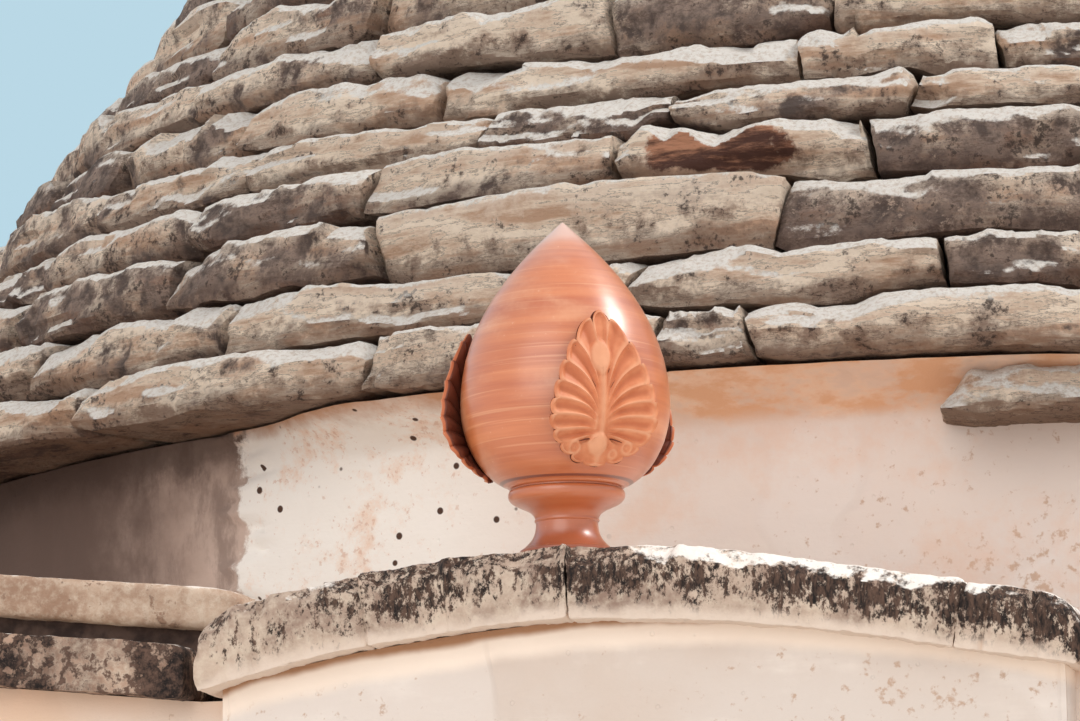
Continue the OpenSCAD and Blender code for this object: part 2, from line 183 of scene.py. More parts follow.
world = bpy.data.worlds.new("pale_surround")
bpy.context.scene.world = world
world.use_nodes = True
surround = world.node_tree
surround.nodes.clear()
path = Tone(surround, surround.nodes.new("ShaderNodeLightPath").outputs["Is Camera Ray"])
seen = path + path.node("LightPath", {}, {}, "Is Glossy Ray")
seen = (seen + path.node("LightPath", {}, {}, "Is Transmission Ray")).between(0.0, 1.0)
glow = path.node("Background", {}, {"Color": paint((243, 242, 243)), "Strength": 0.95})
backdrop = path.node("Background", {}, {"Color": paint((186, 216, 230)), "Strength": 1.0})
sky = path.node("MixShader", {}, {0: seen, 1: glow, 2: backdrop})
surround.links.new(sky.socket, surround.nodes.new("ShaderNodeOutputWorld").inputs["Surface"])

floor_radius = 5.4
bpy.ops.object.select_all(action="DESELECT")
bpy.ops.mesh.primitive_circle_add(vertices=96, radius=floor_radius, fill_type="NGON",
                                  location=(0, 0, -0.001))
floor = bpy.context.object
floor.name = "floor"


def new_finish(name, roughness):
    """A new material, its shader node, and the point that is coloured."""
    made = bpy.data.materials.new(name)
    made.use_nodes = True
    shader = made.node_tree.nodes["Principled BSDF"]
    shader.inputs["Roughness"].default_value = roughness
    shader.inputs["Specular IOR Level"].default_value = 0.3
    place = made.node_tree.nodes.new("ShaderNodeTexCoord").outputs["Object"]
    return made, shader, Tone(made.node_tree, place)


def coat(shader, socket, tone):
    """Feeds a socket of a material's shader."""
    tone.tree.links.new(tone.socket, shader.inputs[socket])


def emboss(shader, height, strength, distance):
    """Gives a material its relief, by a height from about 0 to 1."""
    coat(shader, "Normal", height.node("Bump", {}, {"Strength": strength, "Distance": distance,
                                                    "Height": height}))


floor_finish, floor_shader, floor_point = new_finish("pale_floor", 0.9)
coat(floor_shader, "Base Color",
     floor_point.noise(3.0).between(0.2, 0.8).blend((222, 220, 216), (226, 224, 220)))
floor.data.materials.append(floor_finish)

# Plaster coat of the walls
# The rubble walls carry a coat of lime plaster, trowelled by hand and limewashed over and over. It
# runs round the four corners up to the cornice and leaves the gable free. On top of the walls,
# behind the kerb, a screed of mortar leads the rain away.
back_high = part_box("wall_back")[1]
front_low, front_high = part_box("cornice_front_right")
side_low, side_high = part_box("cornice_left")
wall_half = back_high.x
axis_y = back_high.y - wall_half
cornice_t = side_high.z - side_low.z
ledge_slope = (front_high.z - cornice_t - front_low.z)/(front_high.x - front_low.x)
coat_out = 0.004
coat_thick = 0.012


def ledge_at(x):
    """Height of the front ledge: it falls from the corners towards the gable."""
    return front_low.z + (np.abs(x) - front_low.x)*ledge_slope


def points_of(piece):
    """The places of a piece's vertices, one row for each."""
    spots = np.empty(3*len(piece.data.vertices))
    piece.data.vertices.foreach_get("co", spots)
    return spots.reshape(-1, 3)


def move_points(piece, spots):
    """Puts a piece's vertices where the rows say."""
    piece.data.vertices.foreach_set("co", np.ascontiguousarray(spots).ravel())
    piece.data.update()


def activate(piece):
    """Selects one piece alone, for the operator that follows."""
    bpy.ops.object.select_all(action="DESELECT")
    piece.select_set(True)
    bpy.context.view_layer.objects.active = piece


def pick(piece, kind, chosen=None):
    """Opens a piece in edit mode with its chosen vertices, edges or polygons selected, or all."""
    activate(piece)
    kinds = ("vertices", "edges", "polygons")
    for name in kinds:
        items = getattr(piece.data, name)
        every = np.full(len(items), name == kind)
        items.foreach_set("select", every if chosen is None or name != kind else chosen)
    bpy.context.tool_settings.mesh_select_mode = [name == kind for name in kinds]
    bpy.ops.object.mode_set(mode="EDIT")


def close():
    """Leaves edit mode."""
    bpy.ops.object.mode_set(mode="OBJECT")


def start_block(name, low, high):
    """Adds a block between two corners, with its place in its mesh."""
    bpy.ops.object.select_all(action="DESELECT")
    bpy.ops.mesh.primitive_cube_add(size=1)
    piece = bpy.context.object
    piece.name = name
    low, high = np.array(low), np.array(high)
    move_points(piece, (low + high)/2 + points_of(piece)*(high - low))
    return piece


def cut_across(piece, axis, cuts):
    """Cuts a piece across one axis: the edges that run along it are divided."""
    pairs = np.empty(2*len(piece.data.edges), int)
    piece.data.edges.foreach_get("vertices", pairs)
    spots = points_of(piece)
    step = np.abs(spots[pairs[0::2]] - spots[pairs[1::2]])
    pick(piece, "edges", step[:, axis] > 0.97*np.linalg.norm(step, axis=1))
    bpy.ops.mesh.subdivide(number_cuts=cuts)
    close()


def drop_faces(piece, chosen):
    """Deletes the chosen faces."""
    pick(piece, "polygons", chosen)
    bpy.ops.mesh.delete(type="FACE")
    close()


def normals_of(piece):
    """The directions in which a piece's faces point."""
    ways = np.empty(3*len(piece.data.polygons))
    piece.data.polygons.foreach_get("normal", ways)
    return ways.reshape(-1, 3)


def apply_modifier(piece, kind, **settings):
    """Adds a modifier to a piece and applies it."""
    activate(piece)
    modifier = piece.modifiers.new(kind.lower(), kind)
    for name, setting in settings.items():
        setattr(modifier, name, setting)
    bpy.ops.object.modifier_apply(modifier=modifier.name)


def weather(piece, size, depth, pattern="ORIGINAL_PERLIN"):
    """Works a surface in and out by a random pattern, no further out than the whole roof reaches."""
    texture = bpy.data.textures.new("weathering", "CLOUDS")
    texture.noise_basis = pattern
    texture.noise_scale = size
    texture.noise_depth = 2
    apply_modifier(piece, "DISPLACE", texture=texture, texture_coords="LOCAL", strength=depth,
                   mid_level=0.5, direction="NORMAL")
    bpy.data.textures.remove(texture)
    move_points(piece, np.clip(points_of(piece), cad_box[0], cad_box[1]))


def shade(piece, degrees, finish=None):
    """Smooth shading that stops at edges sharper than an angle, and the piece's finish."""
    activate(piece)
    bpy.ops.object.shade_smooth_by_angle(angle=math.radians(degrees))
    if finish:
        piece.data.materials.append(finish)


half = wall_half + coat_out
wall_coat = start_block("wall_plaster", (-half, axis_y - half, 0), (half, axis_y + half, side_low.z))
drop_faces(wall_coat, np.abs(normals_of(wall_coat)[:, 2]) > 0.5)
# One cut makes a hundred strips at most, so the long sides are cut a second time
for axis, cuts in ((0, 99), (1, 99), (0, 1), (1, 1), (2, 15)):
    cut_across(wall_coat, axis, cuts)
spots = points_of(wall_coat)
corner_r = 0.035
tiny = 1e-9
flat = np.clip(spots[:, :2] - (0, axis_y), -half + corner_r, half - corner_r)
reach = spots[:, :2] - (0, axis_y) - flat
long_way = np.maximum(np.linalg.norm(reach, axis=1), tiny)
square_way = np.maximum(np.abs(reach).max(axis=1), tiny)
spots[:, :2] = (0, axis_y) + flat + reach*(square_way/long_way)[:, None]
at_front = spots[:, 1] < axis_y - half + corner_r
front_rise = np.maximum(ledge_at(spots[:, 0]), front_low.z)
spots[:, 2] *= np.where(at_front, front_rise/side_low.z, 1.0)
move_points(wall_coat, spots)
apply_modifier(wall_coat, "SOLIDIFY", thickness=coat_thick, offset=-1)
weather(wall_coat, 0.35, 0.005)
weather(wall_coat, 0.07, 0.0025)
shade(wall_coat, 50)


def lime_plaster(name, warm, cool, stain):
    """Limewashed plaster: cloudy coats that lap over one another, trowel marks and fine pits."""
    made, shader, point = new_finish(name, 0.85)
    broad = point.noise(1.6, 3.0, 0.5)
    patchy = point.noise(6.0, 6.0, 0.6)
    strokes = point.noise(9.0, 5.0, 0.6, stretch=(0.5, 0.5, 2.2))
    specks = point.noise(70.0, 4.0, 0.65)
    colour = (broad*0.6 + patchy*0.4).between(0.36, 0.62).blend(warm, cool)
    laps = point.noise(3.3, 2.0, 0.45).between(0.5, 0.535)
    colour = colour.under(
        ((patchy*0.5 + strokes*0.5).between(0.52, 0.72), (238, 226, 215)),
        (laps*0.3, (240, 231, 224)),
        ((broad*0.35 + specks*0.65).between(0.585, 0.66), stain))
    pits = point.cells(26.0).between(0.05, 0.09)
    height = patchy*0.35 + strokes*0.3 + specks*0.12 + pits*0.12 + laps*0.3
    emboss(shader, height, 0.55, 0.012)
    coat(shader, "Base Color", colour)
    return made, shader, point, colour


def dress(name, finish):
    """Gives one of the plain solids its finish."""
    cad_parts[name].data.materials.clear()
    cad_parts[name].data.materials.append(finish)


wall_limes = ((232, 200, 174), (236, 216, 200), (198, 166, 140))
wall_finish, wall_shader, wall_point, wall_colour = lime_plaster("wall_limewash", *wall_limes)
behind = (wall_point.part("Y") - (axis_y - wall_half)).between(0.0, 0.05)
band_z = front_low.z + behind*(side_low.z - front_low.z - 0.03) + wall_point.noise(5.0, 5.0)*0.03
wall_band = (band_z - wall_point.part("Z")).between(-0.01, 0.06)
coat(wall_shader, "Base Color", wall_band.blend((240, 205, 178), wall_colour))
wall_coat.data.materials.append(wall_finish)
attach(wall_coat, "root")
head_finish, head_shader, head_point, head_colour = lime_plaster("wall_head_screed", *wall_limes)
flat_top = head_point.node("NewGeometry", {}, {}, "Normal").part("Z").between(0.5, 0.8)
puddled = head_point.noise(2.2, 7.0, 0.65)*0.6 + head_point.noise(28.0, 5.0, 0.65)*0.4
screed = puddled.between(0.42, 0.6).blend((206, 188, 172), (158, 138, 124))
coat(head_shader, "Base Color", flat_top.blend(head_colour, screed))
for name in ("wall_front_left", "wall_front_right", "wall_left", "wall_right", "wall_back"):
    dress(name, head_finish)

# Plaster coat of the gable
# The gable is the same rubble, one hand's breadth proud of the wall, with its own coat of
# plaster rounded over at the sides and run up under the coping. Just under the coping a paler
# band is painted against the coping's shade, with a brown line above it as painted shadow.
gable_low, gable_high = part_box("wall_gable")
coping_low, coping_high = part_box("coping_left")
crest_z = gable_high.z
gable_half = gable_high.x
arch_r = 2.2
arch_z = crest_z - arch_r


def arch_at(radius, x):
    """Height of an arc round the gable's centre."""
    return arch_z + np.sqrt(radius**2 - x**2)


face_y = gable_low.y - coat_out
gable_coat = start_block("gable_plaster", (-gable_half - coat_out, face_y, 0),
                         (gable_half + coat_out, axis_y - wall_half, crest_z))
ways = normals_of(gable_coat)
drop_faces(gable_coat, (np.abs(ways[:, 2]) > 0.5) | (ways[:, 1] > 0.5))
pick(gable_coat, "edges", np.array([
    all(gable_coat.data.vertices[v].co.y < face_y + 0.001 for v in edge.vertices)
    and abs(gable_coat.data.vertices[edge.vertices[0]].co.x
            - gable_coat.data.vertices[edge.vertices[1]].co.x) < 0.001
    for edge in gable_coat.data.edges]))
bpy.ops.mesh.bevel(offset=0.022, segments=4, affect="EDGES")
close()
for axis, cuts in ((0, 99), (2, 47), (1, 3)):
    cut_across(gable_coat, axis, cuts)
spots = points_of(gable_coat)
spots[:, 2] *= arch_at(arch_r, spots[:, 0])/crest_z
move_points(gable_coat, spots)
apply_modifier(gable_coat, "SOLIDIFY", thickness=coat_thick, offset=-1)
weather(gable_coat, 0.22, 0.007)
weather(gable_coat, 0.05, 0.0025)
shade(gable_coat, 50)
gable_finish, gable_shader, gable_point, gable_colour = lime_plaster(
    "gable_limewash", (214, 196, 182), (220, 207, 197), (196, 168, 148))
centre_way = gable_point.node("VectorMath", {"operation": "SUBTRACT"},
                              {0: gable_point, 1: (0.0, 0.0, arch_z)})
flat_way = centre_way.node("VectorMath", {"operation": "MULTIPLY"}, {0: centre_way, 1: (1.0, 0.0, 1.0)})
from_centre = flat_way.node("VectorMath", {"operation": "LENGTH"}, {0: flat_way}, "Value")
# Painted light and shade under the coping: a paler band against its shade, and a brown line as the shadow
# of its lip
band = from_centre + gable_point.noise(7.0, 4.0)*0.022
coat(gable_shader, "Base Color", gable_colour.under(
    (band.between(arch_r - 0.034, arch_r - 0.016), (250, 233, 217)),
    (band.between(arch_r - 0.004, arch_r + 0.006), (176, 132, 100))))
gable_coat.data.materials.append(gable_finish)
dress("wall_gable", gable_finish)
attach(gable_coat, "root")

# Cornice
# Rough slabs of hard limestone laid edge to edge on the wall head. They throw the rain clear of
# the plaster, and years of it have grown black and grey lichen over their broken noses.
rear_low, rear_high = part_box("cornice_back")
nose_half = rear_high.x
cornice_d = rear_high.y - rear_low.y


def rough_slab(name, low, high, rounding, cuts, front_bias=1.0):
    """A slab with rounded edges, cut into a net that is finer towards its front."""
    piece = start_block(name, low, high)
    pick(piece, "edges")
    bpy.ops.mesh.bevel(offset=rounding, segments=3, affect="EDGES")
    close()
    for axis in range(3):
        cut_across(piece, axis, cuts[axis])
    spots = points_of(piece)
    depth = (spots[:, 1] - low[1])/(high[1] - low[1])
    spots[:, 1] = low[1] + (high[1] - low[1])*np.clip(depth, 0, 1)**front_bias
    move_points(piece, spots)
    return piece


def join(name, pieces):
    """Joins like pieces into one."""
    activate(pieces[0])
    for piece in pieces[1:]:
        piece.select_set(True)
    if len(pieces) > 1:
        bpy.ops.object.join()
    pieces[0].name = name
    return pieces[0]


def old_limestone(name, pale, grey, black, black_share, streaks):
    """Weathered limestone: mottled cream and grey, black lichen, white upper edges that are partly
    weathered pale and partly painted sunlight, pits.
    """
    made, shader, point = new_finish(name, 0.9)
    broad = point.noise(3.5, 4.0, 0.55)
    mottle = point.noise(16.0, 7.0, 0.62)
    grain = point.noise(90.0, 5.0, 0.7)
    runs = point.noise(26.0, 6.0, 0.65, stretch=(1, 1, streaks))
    facing_up = point.node("NewGeometry", {}, {}, "Normal").part("Z")
    colour = (broad*0.45 + mottle*0.55).between(0.4, 0.6).blend(grey, pale)
    crust = broad*0.25 + runs*0.4 + grain*0.35
    crust_colour = (grain*0.6 + mottle*0.4).between(0.42, 0.6).blend(black, grey)
    # Whiter on faces that look up: partly stone weathered pale, partly painted sunlight
    bleach_and_sunlight = facing_up*0.34 + mottle*0.5 + grain*0.25
    pits = (point.cells(55.0) + grain*0.1).between(0.07, 0.16)
    colour = colour.under(
        ((mottle*0.3 + grain*0.7).between(0.4, 0.72), (216, 198, 178)),
        (crust.between(0.6 - black_share, 0.645 - black_share), crust_colour),
        (bleach_and_sunlight.between(0.66, 0.74), (236, 226, 215)),
        ((1 - pits)*0.6, (72, 56, 49)))
    height = mottle*0.45 + grain*0.35 + runs*0.2 + pits*0.12
    emboss(shader, height, 0.8, 0.009)
    coat(shader, "Base Color", colour)
    return made, shader, point, colour


def slab_marks(ends, slab_long, wander):
    """Where the joints of a run of slabs lie, at uneven steps between its ends."""
    count = max(1, round(abs(ends[1] - ends[0])/slab_long))
    marks = [ends[0] + (ends[1] - ends[0])*k/count for k in range(count + 1)]
    for k in range(1, count):
        marks[k] += random.uniform(-wander, wander)
    return marks


def rotated(flat, angle):
    """Rows of X and Y turned round the origin."""
    c, s = math.cos(angle), math.sin(angle)
    return flat @ np.array([[c, s], [-s, c]])


def set_on_wall(spots, side, front_rise, side_z):
    """Lifts a run of slabs onto the falling front ledge, or to a level side and turns it there."""
    if side is None:
        spots[:, 2] += ledge_at(spots[:, 0]) + front_rise
    else:
        spots[:, 2] += side_z
        spots[:, :2] = rotated(spots[:, :2], side)
    spots[:, 1] += axis_y


cornice_finish = old_limestone(
    "lichened_cornice", (184, 152, 131), (106, 82, 70), (34, 26, 24), 0.13, 0.9)[0]
slab_gap = 0.006
cornice_slab_long = 0.72
fine_cell = 0.012
random.seed(11)


def cornice_run(name, node, ends, cell, side):
    """A run of cornice slabs between two ends, laid along X and then turned to its side."""
    slabs = []
    marks = slab_marks(ends, cornice_slab_long, 0.07)
    for a, b in zip(marks[:-1], marks[1:]):
        out = random.uniform(0.004, 0.014)
        drop = random.uniform(0.0, 0.006)
        low = (a + slab_gap/2, -nose_half + out, 0.0)
        high = (b - slab_gap/2, -nose_half + cornice_d, cornice_t - drop)
        along = min(99, max(6, round((b - a)/cell)))
        slabs.append(rough_slab("slab", low, high, 0.012,
                                (along, max(5, round(0.1/cell)), max(3, round(0.06/cell))), 1.8))
    piece = join(name, slabs)
    spots = points_of(piece)
    set_on_wall(spots, side, 0.0, side_low.z)
    move_points(piece, spots)
    piece.data.materials.append(cornice_finish)
    weather(piece, 0.09, 0.012)
    if cell < fine_cell:
        weather(piece, 0.03, 0.006, "VORONOI_F1")
        weather(piece, 0.012, 0.003)
    shade(piece, 60)
    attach(piece, "root")
    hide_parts(node)


inner = front_low.x + 0.001
cornice_run("cornice_slabs_front_left", "cornice_front_left", (-nose_half, -inner), 0.009, None)
cornice_run("cornice_slabs_front_right", "cornice_front_right", (inner, nose_half), 0.014, None)
side_run = nose_half - cornice_d
cornice_run("cornice_slabs_left", "cornice_left", (-side_run, side_run), 0.02, -math.pi/2)
cornice_run("cornice_slabs_right", "cornice_right", (-side_run, side_run), 0.02, math.pi/2)
cornice_run("cornice_slabs_back", "cornice_back", (-nose_half, nose_half), 0.02, math.pi)

# Gutter kerb
# Smaller slabs of pale soft stone with rounded edges, bedded in mortar on the cornice; the mortar is
# painted dark for the shade in its recess under the slabs.
# They dam the rain that runs off the cone and lead it to the corners.
kerb_low, kerb_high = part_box("kerb_left")
kerb_front_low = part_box("kerb_front_right")[0]
kerb_w = kerb_high.x - kerb_low.x
kerb_half = -kerb_low.x
kerb_bed = 0.028
kerb_t = kerb_high.z - kerb_low.z - kerb_bed
bed_recess = 0.034
kerb_slab_long = 0.52
kerb_end_mark = 0.88
kerb_finish = old_limestone(
    "pale_kerb", (200, 173, 151), (160, 129, 108), (84, 62, 52), 0.055, 1.0)[0]
# Bedding mortar painted dark, as the shade in its recess under the kerb
bed_finish, bed_shader, bed_point = new_finish("dark_bedding_mortar", 0.95)
coat(bed_shader, "Base Color",
     bed_point.noise(40.0, 5.0).between(0.35, 0.65).blend((58, 46, 42), (92, 74, 66)))


def ramp(value, start, width):
    """0 up to a start, then a straight rise to 1 over a width."""
    return np.clip((value - start)/width, 0, 1)


def kerb_run(name, node, ends, cell, side, free_end=None):
    """A run of kerb slabs on their mortar, laid along X and then turned to its side."""
    slabs = []
    marks = slab_marks(ends, kerb_slab_long, 0.06)
    if free_end is not None:
        marks[free_end] = kerb_end_mark*(1 if ends[0] > 0 else -1)
    for a, b in zip(marks[:-1], marks[1:]):
        low = (a + 0.002, -kerb_half + random.uniform(0.0, 0.008), kerb_bed)
        high = (b - 0.002, -kerb_half + kerb_w - random.uniform(0.0, 0.01),
                kerb_bed + kerb_t - random.uniform(0.0, 0.008))
        along = min(99, max(6, round((b - a)/cell)))
        slabs.append(rough_slab("slab", low, high, 0.011,
                                (along, max(4, round(0.14/cell)), max(2, round(0.03/cell)))))
    bed = rough_slab("bed", (ends[0], -kerb_half + bed_recess, 0),
                     (ends[1], -kerb_half + kerb_w - bed_recess, kerb_bed + 0.012), 0.003,
                     (60, 2, 2))
    for slab in slabs:
        slab.data.materials.append(kerb_finish)
    bed.data.materials.append(bed_finish)
    piece = join(name, slabs + [bed])
    spots = points_of(piece)
    if free_end is not None:
        tip = min(abs(ends[0]), abs(ends[1]))
        near = ramp(np.abs(spots[:, 0]), tip, 0.045)
        slim = 0.5 + 0.5*np.sqrt(1 - (1 - near)**2)
        middle = kerb_bed + kerb_t*0.45
        upper = spots[:, 2] > kerb_bed - 0.001
        spots[:, 2] = np.where(upper, middle + (spots[:, 2] - middle)*slim, spots[:, 2])
    set_on_wall(spots, side, cornice_t, kerb_low.z)
    move_points(piece, spots)
    weather(piece, 0.08, 0.006)
    if cell < fine_cell:
        weather(piece, 0.02, 0.002)
    shade(piece, 60)
    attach(piece, "root")
    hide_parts(node)


kerb_tip = kerb_front_low.x - 0.01
kerb_run("kerb_slabs_front_left", "kerb_front_left", (-kerb_half, -kerb_tip), 0.008, None, -2)
kerb_run("kerb_slabs_front_right", "kerb_front_right", (kerb_tip, kerb_half), 0.014, None, 1)
kerb_side = kerb_half - kerb_w
kerb_run("kerb_slabs_left", "kerb_left", (-kerb_side, kerb_side), 0.02, -math.pi/2)
kerb_run("kerb_slabs_right", "kerb_right", (-kerb_side, kerb_side), 0.02, math.pi/2)
kerb_run("kerb_slabs_back", "kerb_back", (-kerb_half, kerb_half), 0.02, math.pi)

# Coping of the gable
# Four thick slabs of limestone laid round the gable's arch with their front edge over the
# plaster. The upper edge is worn back and white, partly weathered pale by rain and partly painted
# sunlight, and the face is black with lichen.
joint_left, joint_middle, joint_right = -0.33, -0.072, 0.404
joint_half = 0.001
coping_t = coping_high.z - arch_at(arch_r, joint_middle)
coping_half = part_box("coping_end_right")[1].x
lip_y = coping_low.y
coping_depth = coping_high.y - coping_low.y
end_round = 0.06
worn_back = 0.022
coping_cell = 0.0045
dice = np.random.default_rng(5)


def broken_line(share, knots, depth):
    """A broken line along a stone: straight stretches between a few chance points."""
    places = np.concatenate([[0], np.sort(dice.random(knots)), [1]])
    return np.interp(share, places, depth*dice.random(knots + 2))


def height_attribute(piece, share):
    """Keeps how high each vertex lies, from 0 at a slab's bed or a leaf's grooves to 1 at the top."""
    kept = piece.data.attributes.new("height_share", "FLOAT", "POINT")
    kept.data.foreach_set("value", np.ascontiguousarray(share, np.float32))


coping_finish, coping_shader, coping_point, coping_colour = old_limestone(
    "weathered_and_sunlit_coping", (204, 180, 161), (152, 127, 112), (66, 52, 47), 0.0, 0.6)
share = coping_point.node("Attribute", {"attribute_name": "height_share"}, {}, "Fac")
speckle = coping_point.noise(95.0, 9.0, 0.78, stretch=(1, 1, 0.6))
cloud = coping_point.noise(11.0, 5.0, 0.6)
across = coping_point.part("X")
dark_zone = 0.35 + 0.65*across.between(-0.46, -0.3)
dark_top = dark_zone*share.between(0.12, 0.5)
lichen = speckle*0.75 + cloud*0.3 + dark_top*0.085 + across.between(0.02, 0.3)*0.035
fibres = coping_point.noise(170.0, 5.0, 0.7, stretch=(1, 1, 0.3))
lichen_colour = fibres.between(0.38, 0.66).blend((36, 29, 27), (100, 77, 65))
lichen = lichen*0.9 + fibres*0.1
# Painted sunlight over the stone's own pale weathering: whiter on faces that look up, stronger or weaker
# along stretches of the top edge
top_light = coping_point.node("NewGeometry", {}, {}, "Normal").part("Z")
sunny = across.between(-0.03, 0.06)*0.14 - across.between(0.36, 0.46)*0.06 - across.between(-0.4, -0.3)*0.05
coping_bleach_and_sunlight = share*0.2 + top_light*0.34 + coping_point.noise(26.0, 6.0, 0.68)*0.6 + sunny
low_edge = (share + coping_point.noise(24.0, 4.0)*0.3).between(0.16, 0.4)
coat(coping_shader, "Base Color", coping_colour.under(
    (lichen.between(0.562, 0.618), lichen_colour),
    (coping_bleach_and_sunlight.between(0.735, 0.81), (246, 238, 229)),
    (1 - low_edge, (226, 206, 189))))
for node, x_low, x_high, drop_left, drop_right in (
        ("coping_end_left", -coping_half, joint_left - joint_half, -0.004, 0.0),
        ("coping_left", joint_left + joint_half, joint_middle - joint_half, 0.0, 0.0),
        ("coping_right", joint_middle + joint_half, joint_right - joint_half, -0.002, -0.022),
        ("coping_end_right", joint_right + joint_half, coping_half, -0.022, -0.018)):
    across_cells = min(99, round((x_high - x_low)/coping_cell))
    piece = rough_slab(node.replace("coping", "coping_slab"), (x_low, lip_y, 0),
                       (x_high, lip_y + coping_depth, coping_t), 0.004, (across_cells, 22, 17), 1.9)
    spots = points_of(piece)
    share_of_height = np.clip(spots[:, 2]/coping_t, 0, 1)
    along = (spots[:, 0] - x_low)/(x_high - x_low)
    front_share = 1 - ramp(spots[:, 1], lip_y, 0.1)
    worn_from = coping_t - 0.008 - broken_line(along, 14, worn_back)
    spots[:, 1] += np.clip(spots[:, 2] - worn_from, 0, None)*0.9*front_share
    spots[:, 1] += broken_line(along, 9, 0.01)*front_share
    free = np.clip(coping_half - np.abs(spots[:, 0]), 0, end_round)
    spots[:, 2] *= 1 - (end_round - np.sqrt(end_round**2 - (end_round - free)**2))/coping_t
    lean = np.interp(spots[:, 0], (x_low, x_high), (drop_left, drop_right))
    lowered = np.interp(spots[:, 0], (0.1, 0.25, 0.6), (0, 0.010, 0.012))*share_of_height
    radius = arch_r + spots[:, 2] + 0.0005
    swing = spots[:, 0]/(arch_r + coping_t)
    spots[:, 0] = radius*np.sin(swing)
    spots[:, 2] = arch_z + radius*np.cos(swing) + lean - lowered
    move_points(piece, spots)
    height_attribute(piece, share_of_height)
    weather(piece, 0.06, 0.008)
    weather(piece, 0.022, 0.005, "VORONOI_F1")
    weather(piece, 0.009, 0.0035)
    shade(piece, 45, coping_finish)
    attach(piece, "root")
    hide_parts(node)

# Screed behind the coping
# Mortar smoothed from the coping back to the drum, so that rain runs off to the gutters.
dress("gable_screed", lime_plaster(
    "weathered_screed", (176, 152, 132), (196, 178, 160), (120, 98, 84))[0])

# Terracotta finial
# The pumo, a bud of unglazed clay. Foot and bulb were thrown on a wheel: the fingers left fine
# rings, and a groove was cut where the bulb meets the foot's collar.
mm = 0.001
bulb_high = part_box("finial_bulb")[1]
bulb_r = bulb_high.x - finial_x
tip_z = bulb_high.z - finial_z
collar_r = foot_high.x - finial_x
collar_z = foot_high.z - finial_z
foot_r, foot_edge = 57*mm, 7*mm
neck_r, neck_z = 37.5*mm, 42*mm
bulb_z = 183*mm


def sweep(start, pull_out, pull_in, end, steps):
    """Points of a smooth curve between two ends, drawn by its two handles."""
    t = np.linspace(0, 1, steps + 1)[:, None]
    s = 1 - t
    return (s**3*np.array(start) + 3*s*s*t*np.array(pull_out)
            + 3*s*t*t*np.array(pull_in) + t**3*np.array(end))


def thrown(name, profile, steps, centre):
    """Turns a profile of radii and heights on the wheel into a closed solid."""
    mesh = bpy.data.meshes.new(name)
    rows = [(centre[0] + r, centre[1], centre[2] + z) for r, z in profile]
    mesh.from_pydata(rows, [(k, k + 1) for k in range(len(rows) - 1)], [])
    piece = bpy.data.objects.new(name, mesh)
    bpy.context.scene.collection.objects.link(piece)
    pick(piece, "vertices")
    bpy.ops.mesh.spin(steps=steps, angle=2*math.pi, center=centre, axis=(0, 0, 1))
    bpy.ops.mesh.select_all(action="SELECT")
    bpy.ops.mesh.remove_doubles(threshold=0.00002)
    bpy.ops.mesh.normals_make_consistent(inside=False)
    close()
    return piece


def finger_rings(profile, depth):
    """The fine rings that the potter's fingers leave on a profile."""
    radius, height = profile[:, 0], profile[:, 1]
    swell = (np.sin(height/0.0046) + 0.7*np.sin(height/0.0029 + 1.3))*np.sin(height/0.031 + 0.5)
    return np.column_stack([radius + depth*swell*(radius > 0.004), height])


foot_profile = np.vstack([
    [(0, 0), (foot_r - 2*mm, 0), (foot_r, 2*mm), (foot_r, foot_edge), (foot_r - 3*mm, foot_edge + 2*mm)],
    sweep((foot_r - 4*mm, foot_edge + 2.5*mm), (foot_r - 15*mm, foot_edge + 12*mm),
          (neck_r, neck_z - 16*mm), (neck_r, neck_z - 1*mm), 18),
    [(neck_r + 1.4*mm, neck_z), (neck_r + 1.8*mm, neck_z + 1.5*mm), (neck_r + 0.8*mm, neck_z + 3*mm)],
    sweep((neck_r + 1*mm, neck_z + 4*mm), (neck_r + 5*mm, neck_z + 19*mm),
          (collar_r - 3*mm, neck_z + 17*mm), (collar_r, collar_z - 8*mm), 18),
    [(collar_r, collar_z - 4*mm), (collar_r - 1.2*mm, collar_z - 1.2*mm),
     (collar_r - 4*mm, collar_z), (0, collar_z)]])
under = sweep((collar_r + 1*mm, collar_z + 5*mm), (collar_r + 33*mm, collar_z + 16*mm),
              (bulb_r, bulb_z - 43*mm), (bulb_r, bulb_z), 34)
over = sweep((bulb_r, bulb_z), (bulb_r, bulb_z + 96*mm), (68*mm, tip_z - 60*mm), (0, tip_z), 90)
bulb_line = np.vstack([under, over[1:]])
bulb_profile = np.vstack([
    [(0, collar_z + 0.5*mm), (collar_r - 4.5*mm, collar_z + 0.5*mm), (collar_r - 4.5*mm, collar_z + 2*mm),
     (collar_r - 1*mm, collar_z + 2.6*mm), (collar_r + 0.6*mm, collar_z + 4*mm)],
    finger_rings(bulb_line, 0.1*mm)])
bulb_profile[-1, 0] = 0.0

clay_finish, clay_shader, clay_point = new_finish("thrown_terracotta", 0.36)
clay_shader.inputs["Specular IOR Level"].default_value = 0.5
clay_shader.inputs["Coat Weight"].default_value = 0.95
clay_shader.inputs["Coat Roughness"].default_value = 0.3
clay_shader.inputs["Coat IOR"].default_value = 1.62
finial_place = clay_point.node("Mapping", {}, {"Vector": clay_point,
                                               "Location": (-finial_x, -finial_y, -finial_z)})
turned = finial_place.noise(9.0, 6.0, 0.62, stretch=(0.3, 0.3, 6.5))
streaks = finial_place.noise(30.0, 3.0, 0.5, stretch=(0.12, 0.12, 8.0))
clouds = finial_place.noise(11.0, 4.0, 0.5, stretch=(0.7, 0.7, 1.6))
dust = finial_place.noise(160.0, 3.0, 0.6)
height = finial_place.part("Z")
clay = turned.between(0.25, 0.75).blend((194, 98, 52), (224, 133, 80))
